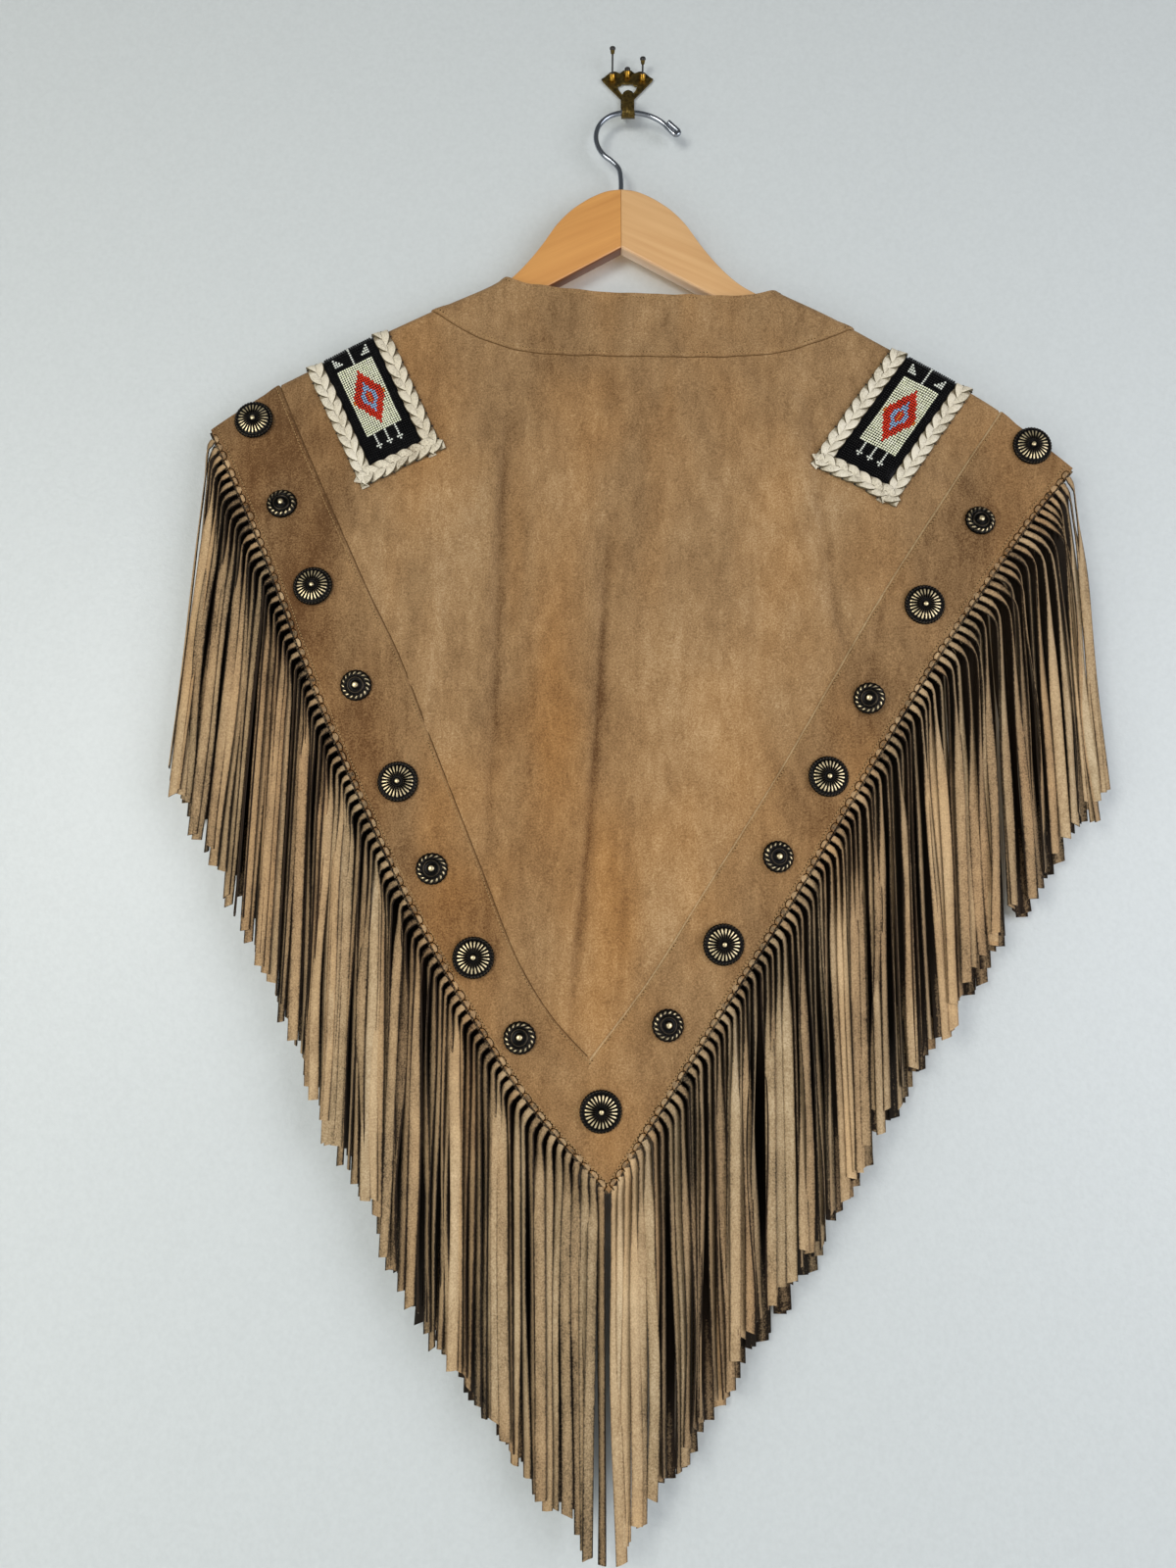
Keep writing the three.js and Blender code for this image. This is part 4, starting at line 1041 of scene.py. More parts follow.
        # Only the right band's bevel, which faces the light, takes the paler cut-edge finish as a painted highlight;
        # the left one keeps the body's finish.
        raw = (share[1:] * self.width <= self.bevel) & (x[1:, :1] > self.tip_x)  # the raw edge that faces the light
        self.cloth(skin, layer, x, np.minimum(z, SHOULDER_LINE.z(x)), lift, raw.astype(int), shade=-0.075)
        self.finished(skin, name, node)

    def back_band(self) -> None:
        """Make the back's border band, a V in one piece."""
        down = np.linspace(0.004, 1, 170)
        sides = ((SEAM_LEFT, EDGE_LEFT, down), (SEAM_RIGHT, EDGE_RIGHT, down[::-1][1:]))
        self.band(Layer.BACK, sides, "suede_back_band", "back_band")

    def front_band(self, half: FrontHalf) -> None:
        """Make one front border band."""
        sides = ((half.seam, half.edge, np.linspace(0.004, half.until, 150)),)
        self.band(Layer.FRONT, sides, f"suede_front_band_{half.name}", f"front_band_{half.name}")

    def neckband(self, layer: Layer, x: Array, z: Array, share: Array, name: str, node: str) -> None:
        """Make a neckband with a turned free edge, lapped over the panel with a raw one.

        Args:
            layer: The layer that it is part of.
            x: Its places from side to side, one row for each station.
            z: The same for their heights.
            share: How far each column is from the free edge to the raw one.
            name: The piece's name.
            node: The solid that it stands for.
        """
        from_raw = (1 - share) * self.width
        lift = self.band_lift(from_raw) + 0.7 * np.exp(-((share * self.width / 2.6) ** 2))
        skin = Skin()
        self.cloth(skin, layer, x, np.minimum(z, SHOULDER_LINE.z(x)), np.broadcast_to(lift, x.shape))
        self.finished(skin, name, node)

    def neckbands(self) -> None:
        """Make the back neckband and the two front ones."""
        share = np.array([0, 0.02, 0.05, 0.09, 0.14, 0.2, 0.35, 0.5, 0.65, 0.78, 0.86, 0.92, 0.97, 0.988, 1.0])
        u = np.linspace(0.002, 0.998, 130)
        top, bottom = NECK_EDGE.at(u)[:, None], NECK_SEAM.at(u)[:, None]
        place = top + (bottom - top) * share[:, None]
        self.neckband(Layer.BACK, place[..., 0], place[..., 1], share, "suede_neckband_back", "neckband_back")
        for half in FRONT_HALVES:
            x, z = half.neckline(np.linspace(0, 1, 70)[:, None] ** 1.5, share[None, :])
            name = f"neckband_front_{half.name}"
            self.neckband(Layer.FRONT, x, z, share, f"suede_{name}", name)

    def build(self) -> None:
        """Make all the suede pieces."""
        self.back_panel()
        self.back_band()
        self.neckbands()
        for half in FRONT_HALVES:
            self.front_panel(half)
            self.front_band(half)


# ---------------------------------------------------------------- sewing


PILL = barrel([(-1.0, 0.35), (-0.62, 1.0), (0.62, 1.0), (1.0, 0.35)])
STITCH = barrel([(-1, 0.45), (0, 1.0), (1, 0.45)], sides=5)
NEEDLE_DOT = barrel([(-0.8, 0.9), (0.8, 0.9)], sides=5)


@dataclass
class Sewing:
    """The rows of stitches along the seams, and the ties along the fringed edges."""

    pitch: float = 2.7
    seam_inset: float = 3.2
    edge_inset: float = 6.0
    neck_inset: float = 3.2
    scallop: float = 2.5  # how far the crease round a tie reaches into the band
    crease: float = 0.46  # half the crease's width
    pad_inset: float = 1.5  # from the edge to the middle of a tie

    def path(self, line: Line, other: Line, offset: float, pitch: float, until: float = 1.0) -> Points:
        """Give evenly spaced places at a distance from one line towards another.

        Args:
            line: The line that is followed.
            other: The line towards which the places are moved.
            offset: How far they are moved.
            pitch: The distance between them.
            until: The share of the line at which they end.

        Returns:
            Their x and z.
        """
        share = np.linspace(0.006, until, 500)
        start, towards = line.at(share), unit(other.at(share) - line.at(share))
        track = start + towards * offset
        run = np.concatenate([[0.0], np.cumsum(np.linalg.norm(np.diff(track, axis=0), axis=1))])
        wanted = np.arange(pitch / 2, run[-1], pitch)
        return np.stack([np.interp(wanted, run, track[:, k]) for k in (0, 1)], -1)

    def frame(self, layer: Layer, track: Points, lift: float) -> tuple[Points, Points, Points, Points]:
        """Lay a track on the cloth.

        Args:
            layer: The layer of cloth.
            track: The track's x and z.
            lift: How far it stands out of the cloth.

        Returns:
            Its places, and the directions along it, beside it and out of it at each.
        """
        z = np.minimum(track[:, 1], SHOULDER_LINE.z(track[:, 0]))
        here = DRAPE.place(layer, track[:, 0], z, lift)
        out = unit(DRAPE.place(layer, track[:, 0], z, lift + 1.0) - here)
        along = unit(np.gradient(here, axis=0))
        return here, along, unit(np.cross(out, along)), out

    def row(self, skin: Skin, layer: Layer, track: Points, lift: float) -> None:
        """Add a row of machine stitches, with the needle holes between them drawn as dark dots of painted shade.

        Args:
            skin: The piece's skin.
            layer: The layer of cloth.
            track: The x and z of the stitches' middles.
            lift: How far they stand out of the cloth.
        """
        here, along, beside, out = self.frame(layer, track, lift)
        scatter(skin, STITCH, here, (along * 1.0, beside * 0.42, out * 0.32), slots=0)
        holes = here + along * (self.pitch / 2) - out * 0.12
        scatter(skin, NEEDLE_DOT, holes, (along * 0.6, beside * 0.55, out * 0.2), slots=1)

    def groove(self, skin: Skin, layer: Layer, line: Line, other: Line, slot: int, until: float = 1.0) -> None:
        """Add a thin dark line just outside a lapped piece's raw edge: a painted shadow of the step, on the piece under
        it.

        Args:
            skin: The piece's skin.
            layer: The layer of cloth.
            line: The lapped piece's raw edge.
            other: Its far edge.
            slot: The number of the line's finish.
            until: The share of the edge at which it ends.
        """
        here, _, beside, out = self.frame(layer, self.path(line, other, -0.25, 4.0, until), 0.05)
        angle = np.arange(6) / 6 * math.tau
        rings = [here + beside * (0.42 * math.cos(a)) + out * (0.26 * math.sin(a)) for a in angle]
        add_tube(skin, np.stack(rings, 1), slots=slot)

    def edging(self, skin: Skin, layer: Layer, fringe: "Fringe") -> None:
        """Add what ties each ribbon of the fringe in: a scalloped crease on the band round a puckered pad, the crease
        drawn as a dark line of painted shade, and a dark fleck of painted shadow in the gap beside each pad.

        Args:
            skin: The piece's skin.
            layer: The layer that the band is part of.
            fringe: The fringe that hangs from it.
        """
        share = fringe.stations
        line, square = fringe.lines[1], fringe.square(share)
        tangent = line.tangent(share)
        wild = np.random.default_rng(fringe.seed + 7).normal(0, 1, (4, fringe.count, 1))
        half = line.length * (share[1] - share[0]) / 2

        def on_band(out: Values, along: Values, lift: float) -> Points:
            """Give a point by each ribbon: how far out of the edge, along it and over the band."""
            flat = line.at(share) + square * out + tangent * along
            return DRAPE.place(layer, flat[:, 0], np.minimum(flat[:, 1], SHOULDER_LINE.z(flat[:, 0])), lift)

        lead = unit(on_band(-2.7, 1.0, 0.55) - on_band(-2.7, -1.0, 0.55))
        side = unit(on_band(-1.7, 0.0, 0.55) - on_band(-3.7, 0.0, 0.55))
        out = unit(np.cross(lead, side)) * np.sign(np.cross(lead, side)[:, 1:2]) * layer.value
        deep = self.scallop + 0.45 * wild[0]
        # The crease is a row of dark slivers: painted shade.
        arc = [on_band(-0.5 - deep * math.sin(t) ** 0.7, -half * math.cos(t), 0.36) for t in np.linspace(0, math.pi, 8)]
        for here, after in zip(arc, arc[1:]):
            reach = (after - here) / 2
            form = (reach * 1.25, unit(np.cross(out, reach)) * self.crease, out * 0.24)
            scatter(skin, STITCH, (here + after) / 2, form, slots=1)
        pad = on_band(-self.pad_inset, 0.3 * wild[3], 0.34)
        form = (side * (1.5 + 0.3 * wild[1]), lead * (half * (0.6 + 0.08 * wild[2])), out * 0.34)
        scatter(skin, PILL, pad, form, slots=2, tone=-0.04 + 0.07 * wild[2][:, 0], warmth=0.4)
        # A dark fleck of painted shadow in the gap between two ties.
        gap = on_band(0.3, half + 0.3 * wild[1], 0.1)
        scatter(skin, PILL, gap, (side * 1.9 + lead * 0.7, lead * 0.45, out * 0.4), slots=1)

    def border(self, name: str, layer: Layer, fringes: Sequence["Fringe"]) -> Piece:
        """Make the sewing of one border band: the stitches along its two edges and the ties of its fringe.

        Args:
            name: The piece's name.
            layer: The layer that the band is part of.
            fringes: Its fringes, one for each edge that it has.

        Returns:
            The piece.
        """
        skin = Skin()
        for fringe in fringes:
            seam, edge = fringe.lines
            self.row(skin, layer, self.path(seam, edge, self.seam_inset, self.pitch, fringe.until), 1.32)
            self.row(skin, layer, self.path(edge, seam, self.edge_inset, self.pitch, fringe.until), 0.32)
            self.edging(skin, layer, fringe)
            # The painted seam shadow runs only along the left seam, on the side away from the light.
            if fringe.side == "left":
                self.groove(skin, layer, seam, edge, 3, fringe.until)
        return seat(skin.build(name, (STITCHING, HOLE_AND_GAP_SHADE, FRINGE_SUEDE, SEAM_SHADE), crease=80), "suede")

    def neck(self, name: str, layer: Layer, top: Line, bottom: Line) -> Piece:
        """Make the sewing of one neckband: a row along each of its edges.

        Args:
            name: The piece's name.
            layer: The layer that the neckband is part of.
            top: Its free edge.
            bottom: Its seam.

        Returns:
            The piece.
        """
        skin = Skin()
        self.row(skin, layer, self.path(top, bottom, self.neck_inset, self.pitch), 0.48)
        self.row(skin, layer, self.path(bottom, top, self.seam_inset, self.pitch), 1.32)
        self.groove(skin, layer, bottom, top, 2)
        return seat(skin.build(name, (STITCHING, HOLE_AND_GAP_SHADE, SEAM_SHADE), crease=80), "suede")


# ---------------------------------------------------------------- fringe


@dataclass
class Fringe:
    """One edge's fringe: ribbons of suede cut square to the edge, which arch out of it, twist and hang straight."""

    side: str
    layer: Layer
    count: int
    length: float
    tip_length: float
    until: float
    bow: float  # how far out the ribbons go before they fall, low down
    top_bow: float  # and near the shoulder
    fan: float  # how much they spread outwards there
    drop: float  # how far down they turn their faces to the front
    seed: int
    width: float = 7.8
    thickness: float = 1.15
    header: float = 1.6  # how far the strip reaches out of the edge before the ribbons part
    rings: int = 32
    crowding: float = 1.45  # the rings stand closer towards the root, where a ribbon bends
    corner: float = 0.09  # the share of the edge by the shoulder where ribbons drop nearly straight
    reaches: tuple = (1.5, 0.45, 0.7, 0.5, 0.45, 0.5, 4.0, 0.8, 0.45)  # over how many neighbours each trait carries
    section: tuple = ((-1, 0.7), (-0.7, 1), (0, 1), (0.7, 1), (1, 0.7), (1, -1), (0, -1), (-1, -1))

    @property
    def lines(self) -> tuple[Line, Line]:
        """The band's seam and edge on this side."""
        return (SEAM_LEFT, EDGE_LEFT) if self.side == "left" else (SEAM_RIGHT, EDGE_RIGHT)

    @property
    def turn(self) -> int:
        """Minus 1 on the left and 1 on the right."""
        return -1 if self.side == "left" else 1

    @property
    def stations(self) -> Array:
        """The place of each ribbon, as a share of the edge."""
        return 0.012 + (self.until - 0.018) * (np.arange(self.count) + 0.5) / self.count

    def square(self, share: Array) -> Points:
        """Give the direction square to the edge, out of the cloth's side."""
        tangent = self.lines[1].tangent(share)
        return np.stack([self.turn * np.abs(tangent[:, 1]), -np.abs(tangent[:, 0])], -1)

    def add_header(self, skin: Skin) -> None:
        """Add the narrow strip that the ribbons are cut from, tucked under the whipped edge.

        Args:
            skin: The fringe's skin.
        """
        share = np.linspace(0.008, self.until, 200)
        across = np.linspace(-1.0, self.header + 0.3, 4)
        track = self.lines[1].at(share)[:, None, :] + self.square(share)[:, None, :] * across[None, :, None]
        x, z = track[..., 0], track[..., 1]
        z = np.minimum(z, SHOULDER_LINE.z(x))
        outer = DRAPE.place(self.layer, x, z, -0.1)
        # The strip's tone is lowered by 0.3: painted shade where it shows between the ribbons' roots.
        add_shell(skin, outer, DRAPE.place(self.layer, x, z, -1.3), rim_slot=1, tone=-0.3, warmth=0.0)

    def course(self, root: Points, start: Array, bow: Array, reach: Array, lean: Array) -> tuple:
        """Give x, z and slope along each ribbon as it arches out of the edge and hangs.

        Args:
            root: Where each ribbon starts, x and z.
            start: Its angle from straight down at the edge.
            bow: How far out it goes before it falls.
            reach: The distances along it, a row for each ribbon.
            lean: How far it leans once it hangs, given between those distances.

        Returns:
            Its x, its z and its angle from straight down.
        """
        middle = (reach[:, 1:] + reach[:, :-1]) / 2
        angle = start[:, None] * (1 - smooth(middle / bow, 0.0, 2.8)) + lean * smooth(middle, 8, 50)
        step = np.diff(reach, axis=1)
        zero = np.zeros((self.count, 1))
        x = root[:, :1] + np.concatenate([zero, np.cumsum(np.sin(angle) * step, axis=1)], axis=1)
        z = root[:, 1:] - np.concatenate([zero, np.cumsum(np.cos(angle) * step, axis=1)], axis=1)
        slope = np.concatenate([angle[:, :1], (angle[:, 1:] + angle[:, :-1]) / 2, angle[:, -1:]], axis=1)
        return x, z, slope

    def build(self) -> Piece:
        """Make the fringe."""
        skin = Skin()
        self.add_header(skin)
        share = self.stations
        near_tip = smooth(share / self.until, 0.84, 1)
        square = self.square(share)
        square[:, 0] *= 1 - near_tip
        square = unit(square)
        root = self.lines[1].at(share) + square * self.header
        draws = [drift(self.count, reach, self.seed + k)[:, None] for k, reach in enumerate(self.reaches)]
        lean, ragged, turned, unrolled, depth, shade, lock, wander, own = draws
        length = (self.length + (self.tip_length - self.length) * share)[:, None] * (1 + 0.03 * ragged)
        reach = length * (np.arange(self.rings) / (self.rings - 1)) ** self.crowding
        middle = (reach[:, 1:] + reach[:, :-1]) / 2
        hang = 0.014 * lean + 0.012 * lock + 0.014 * own + 0.04 * wander * np.sin(middle / 38 + 5 * unrolled)
        start = np.arctan2(square[:, 0], -square[:, 1])
        right = self.side == "right"
        corner = 1 - smooth(share, 0.0, self.corner)
        high = (1 - smooth(share, *((0.2, 0.36) if right else (0.04, 0.24)))) * (1 - corner)
        start = start * (1 - 0.55 * corner) + self.turn * (0.26 if right else 0.0) * high
        hang = hang + self.turn * self.fan * (1 - smooth(share, 0.02, 0.3))[:, None]
        bow = (self.bow + (self.top_bow - self.bow) * high)[:, None] * (1 + 0.22 * own + 0.18 * wander)
        x, z, slope = self.course(root, start, bow, reach, hang)

        open_ = smooth(unrolled, -0.45, 0.35)
        open_ = open_ + (1 - open_) * 0.3 * near_tip[:, None]
        from_edge, by = 1 + 0.4 * wander + high[:, None], 4 + wander + 3 * high[:, None]
        low = smooth(reach, self.drop * from_edge, self.drop * by)
        hung = (1.12 + 0.22 * turned) * (1 - open_) + (0.1 + 0.34 * turned) * open_
        hung = hung + 0.3 * wander * np.sin(reach / 30 + 4 * depth)
        turned_by = (1.06 + 0.14 * turned) * (1 - 0.35 * near_tip[:, None]) * (1 - low) + hung * low
        room = self.layer.value
        behind = self.layer is Layer.FRONT  # its ribbons close the gaps between those of the back
        turned_by = turned_by * (0.45 if behind else 1.0)
        twist = self.turn * room * turned_by * (0.28 + 0.72 * smooth(reach / bow, 0.5, 1.9))
        base = DRAPE.place(self.layer, root[:, 0], np.minimum(root[:, 1], SHOULDER_LINE.z(root[:, 0])), -0.6)[:, 1]
        stand = 1.2 if self.layer is Layer.BACK else -0.8
        apart = 4.2 * open_ - 1.6 + 1.3 * depth + 1.2 * wander * np.sin(reach / 34 + 3 * shade)
        y = base[:, None] + room * (stand * smooth(reach, 0, 60) + apart * smooth(reach, 10, 70))

        flat = np.stack([np.cos(slope), np.zeros_like(slope), np.sin(slope)], -1)
        out = np.array([0.0, room, 0.0])
        across = flat * np.cos(twist)[..., None] + out * np.sin(twist)[..., None]
        face = -flat * np.sin(twist)[..., None] + out * np.cos(twist)[..., None]
        centre = np.stack([x, y, z], -1)
        curl = 0.7 * shade[..., None] * smooth(reach, 8, 60)[..., None]
        pinch = 0.62 + 0.38 * smooth(reach, 0, 2.2 * bow + 8) if not behind else 1.15
        half = (self.width / 2 * (1 + 0.07 * own) * pinch)[..., None]
        skinny = self.thickness / 2
        rings = [centre + across * (a * half) + face * (b * skinny + (curl if a == 0 else 0)) for a, b in self.section]
        rings = np.stack(rings, 2)
        rings[:, -1, :, 2] += 1.8 * ragged * np.array([a for a, _ in self.section])
        # The right fringe's tone is set a little higher, as painted light; ribbons that stay twisted are painted
        # darker, as painted shade among their neighbours.
        tone = (0.1 if right else 0.04) + 0.13 * shade + 0.05 * lock - 0.12 * (1 - open_)
        # The side turned to the other layer is in its shade, down to the tips of the longer ribbons behind.
        inner = 0.62 - 0.4 * smooth(reach / length, 0.62, 0.88) if behind else 0.3
        # Painted shade: the corner of each ribbon that turns deeper is darkened, and so are its two cut sides.
        deep_corner_shade = [np.clip(-a * np.sin(twist), 0, 1) for a, _ in self.section]
        edge = [0.26 * abs(a) ** 6 + (inner if b < 0 else 0.0) for a, b in self.section]
        tones = tone[..., None] - np.stack([0.4 * h + e for h, e in zip(deep_corner_shade, edge)], 2)
        warmth = np.clip(0.2 + 0.35 * turned[:, 0], 0, 1)
        for strand, own_tone, own_warmth in zip(rings, tones, warmth):
            add_tube(skin, strand, slots=np.array([0, 0, 0, 0, 1, 0, 0, 1]), tone=own_tone, warmth=own_warmth)
        name = f"suede_{self.layer.name.lower()}_fringe_{self.side}"
        node = f"{self.layer.name.lower()}_fringe_{self.side}"
        return seat(skin.build(name, (FRINGE_SUEDE, FRINGE_EDGE)), "fringe_suede", node)


FRINGES = (
    Fringe("left", Layer.BACK, 82, 262, 246, 1.0, 5.0, 7.0, 0.085, 11, seed=11),
    Fringe("right", Layer.BACK, 88, 250, 244, 1.0, 5.5, 12.0, 0.02, 22, seed=31),
    Fringe("left", Layer.FRONT, 72, 260, 246, 0.955, 4, 6, 0.07, 20, seed=51),
    Fringe("right", Layer.FRONT, 70, 266, 262, 0.91, 4, 7, 0.02, 20, seed=71),
)


# ---------------------------------------------------------------- beaded strips and plaits


@dataclass(frozen=True)
class Patch:
    """The place of one beaded strip over a shoulder: p goes across it and q down it, onto the front below 0."""

    name: str
    x: float
    across: float
    lean: float
    slope: float
    end: float  # from the shoulder line down each layer to the middle of the plait across the strip's end

    def point(self, p: Array, q: Array, lift: Values) -> Points:
        """Give points of the patch, moved out of the cloth."""
        p, q, lift = np.broadcast_arrays(np.asarray(p, float), np.asarray(q, float), lift)
        x = self.x + self.across * p + self.lean * np.abs(q)
        back = DRAPE.lifted(Layer.BACK, x, self.slope * np.abs(q), lift)
        front = DRAPE.lifted(Layer.FRONT, x, self.slope * np.abs(q), lift)
        return np.where((q >= 0)[..., None], back, front)


PATCHES = (Patch("left", -229.8, 0.875, 0.426, 1.14, 108.5), Patch("right", 245.1, 0.866, -0.573, 1.15, 117.5))


@dataclass
class BeadStrip:
    """A loomed strip of small glass beads in black, with a cream field and a stepped diamond."""

    patch: Patch
    pitch: float = 1.84  # from one column of beads to the next
    columns: int = 23
    rows: int = 53  # from the shoulder line down each layer
    end_gap: float = 6.6  # from the last row to the middle of the plait
    backing: float = 23.2  # half the width of the cloth under the beads
    bead: float = 0.425  # a bead's half size, as a share of the pitch
    field_start: int = 9
    field_rows: int = 32
    field_columns: int = 17
    lift: float = 1.6

    def colour(self, row: int, column: int) -> Bead:
        """Choose a bead's colour from the chart.

        Args:
            row: Rows from the shoulder line.
            column: Columns from the strip's middle line.

        Returns:
            The bead's colour.
        """
        side = abs(column)
        if self.field_start <= row < self.field_start + self.field_rows and side <= self.field_columns // 2:
            down = abs(row - (self.field_start + self.field_rows / 2 - 0.5))
            spread = side / 7.4 + down / 12.6
            if spread < 0.12:
                return Bead.ORANGE
            if spread < 0.27:
                return Bead.RED
            if spread < 0.53:
                return Bead.BLUE
            if spread < 1.02:
                return Bead.ORANGE if side >= 7 else Bead.RED
            return Bead.CREAM
        if row < self.field_start:
            wedge = 2 <= row <= 6 and 8 - (row - 1) < side - 1 <= 7
            stem = column == 0 and row > 0
            return Bead.WHITE if wedge or stem else Bead.BLACK
        below = row - self.field_start - self.field_rows
        if 0 <= below <= 6:
            from_line = min(abs(column - line) for line in (-5, 0, 5))
            if from_line == 0 or (below == 5 and from_line == 1):
                return Bead.WHITE
        return Bead.BLACK

    def build(self) -> Piece:
        """Make the strip."""
        skin = Skin()
        row = np.concatenate([-np.arange(self.rows)[::-1] - 1, np.arange(self.rows)])
        column = np.arange(self.columns) - self.columns // 2
        rows, columns = (grid.ravel() for grid in np.meshgrid(row, column, indexing="ij"))
        own_row = np.where(rows >= 0, rows, -rows - 1)
        colours = np.array([self.colour(int(r), int(c)).value for r, c in zip(own_row, columns)])
        rng = np.random.default_rng(5)
        pitch_down = (self.patch.end - self.end_gap) / self.rows
        p = columns * self.pitch + rng.normal(0, 0.05, len(rows))
        q = (rows + 0.5) * pitch_down
        here = self.patch.point(p, q, self.lift + rng.normal(0, 0.05, len(rows)))
        along = unit(self.patch.point(p + 0.4, q, self.lift) - self.patch.point(p - 0.4, q, self.lift))
        out = unit(self.patch.point(p, q, self.lift + 1) - self.patch.point(p, q, self.lift))
        down = unit(np.cross(along, out))
        size = (self.bead + rng.normal(0, 0.014, len(rows)))[:, None]
        form = barrel([(-0.97, 0.6), (0.0, 1.06), (0.97, 0.6)])
        axes = (along * size * self.pitch, down * size * pitch_down, out * size * self.pitch)
        scatter(skin, form, here, axes, slots=colours)
        reach = np.linspace(-self.rows, self.rows, 140) * pitch_down
        width = np.linspace(-self.backing, self.backing, 9)
        q_grid, p_grid = np.meshgrid(reach, width, indexing="ij")
        top, bottom = (self.patch.point(p_grid, q_grid, lift) for lift in (1.3, 0.6))
        before = len(skin.slots)
        add_shell(skin, top, bottom)
        skin.slots[before] = np.zeros_like(skin.slots[before])
        name = self.patch.name
        piece = skin.build(f"beaded_strip_{name}", BEAD_FINISHES, crease=70)
        return seat(piece, "glass_beads", f"bead_strip_{name}")


@dataclass
class LacePlait:
    """Plaits of three flat deerskin laces along the four sides of a beaded strip, with their ends jutting out."""

    patch: Patch
    centre: float = 29.8
    swing: float = 4.3
    rise: float = 0.95
    lace_width: float = 6.5
    lace_thickness: float = 1.3
    lobe: float = 12.0
    jut: float = 7.0

    def run(
        self, skin: Skin, start: Sequence[float], stop: Sequence[float], lift: float, outside: int, seed: int
    ) -> None:
        """Add one plait.

        Args:
            skin: The piece's skin.
            start: The patch's p and q where it starts.
            stop: The same where it ends.
            lift: How far its middle stands out of the cloth.
            outside: 1 where its outer side is a quarter turn on from its way, and -1 where it is the other.
            seed: The seed of its small unevenness.
        """
        first, last = np.array(start, float), np.array(stop, float)
        length = float(np.linalg.norm(last - first))
        way = (last - first) / length
        beside = np.array([-way[1], way[0]])
        period = length / max(round(length / (3 * self.lobe)), 1)
        section = np.array([(-1, -1), (-1, 0.35), (-0.9, 1.0), (0.0, 1.12), (0.9, 1.0), (1, 0.35), (1, -1)])
        # The sides take the dark finish: painted shade between the laces.
        sides = np.array([1, 1, 0, 0, 1, 1, 0])
        for strand in range(3):
            run = np.arange(-self.jut * (0.5 + 0.25 * strand), length + self.jut * (1.2 - 0.3 * strand), 0.85)
            phase = run / period * math.tau + strand * math.tau / 3
            swing = self.swing * (np.sin(phase) + 0.12 * np.sin(3 * phase))
            rise = -self.rise * np.sin(2 * phase)
            wave = 0.3 * drift(len(run), 9, seed + strand)
            place = first + way * run[:, None] + beside * (swing + wave)[:, None]
            middle = self.patch.point(place[:, 0], place[:, 1], lift + rise)
            out = unit(self.patch.point(place[:, 0], place[:, 1], lift + rise + 1.0) - middle)
            along = unit(np.gradient(middle, axis=0))
            out = unit(out - along * np.sum(out * along, axis=1, keepdims=True))
            across = np.cross(along, out)
            tilt = -0.2 * np.cos(phase)
            side = across * np.cos(tilt)[:, None] + out * np.sin(tilt)[:, None]
            face = out * np.cos(tilt)[:, None] - across * np.sin(tilt)[:, None]
            side, face = side * self.lace_width / 2, face * self.lace_thickness / 2
            rings = [middle + side * a + face * b for a, b in section]
            # Where a lace dips under its neighbour its tone is lowered: painted shade at the crossing.
            tone = 0.05 * drift(3, 0.6, seed)[strand] - 0.3 * smooth(-rise / self.rise, 0.1, 0.9)
            add_tube(skin, np.stack(rings, 1), slots=sides, tone=tone, warmth=0.0)
        notch = period / (12 if outside > 0 else 4)
        self.ties(skin, first, way, beside * outside, np.arange(notch, length, period / 3), lift)

    def ties(self, skin: Skin, first: Points, way: Points, outwards: Points, runs: Array, lift: float) -> None:
        """Add the black stitches that hold a plait down in the notches of its outer edge.

        Args:
            skin: The piece's skin.
            first: The patch's p and q where the plait starts.
            way: Its direction in p and q.
            outwards: The direction of its outer side.
            runs: The distances of the notches from its start.
            lift: How far its middle stands out of the cloth.
        """
        place = first + way * runs[:, None] + outwards * (self.swing + 1.5)
        here = self.patch.point(place[:, 0], place[:, 1], lift - 0.4)
        out = unit(self.patch.point(place[:, 0], place[:, 1], lift + 1.0) - here)
        inner = place - outwards
        reach = unit(self.patch.point(inner[:, 0], inner[:, 1], lift - 0.4) - here)
        width = unit(np.cross(out, reach))
        scatter(skin, PILL, here, (reach * 1.9, width * 0.6, out * 0.6), slots=2)

    def build(self) -> Piece:
        """Make the four plaits."""
        skin = Skin()
        end = self.patch.end
        for hand in (-1, 1):
            self.run(skin, (hand * self.centre, -end), (hand * self.centre, end), 1.8, -hand, 90 + hand)
        inset = self.centre + 1.0
        for hand in (-1, 1):
            self.run(skin, (-inset, hand * end), (inset, hand * end), 2.3, hand, 95 + hand)
        name = self.patch.name
        piece = skin.build(f"lace_plait_{name}", (LACE, LACE_SIDE_SHADE, BLACK_THREAD), crease=60)
        return seat(piece, "lace_suede", f"braid_frame_{name}")


# ---------------------------------------------------------------- conchos


class ConchoKind(Enum):
    """The two castings; the value is the radius."""

    SUNBURST = 15.5
    ROPE = 12.0


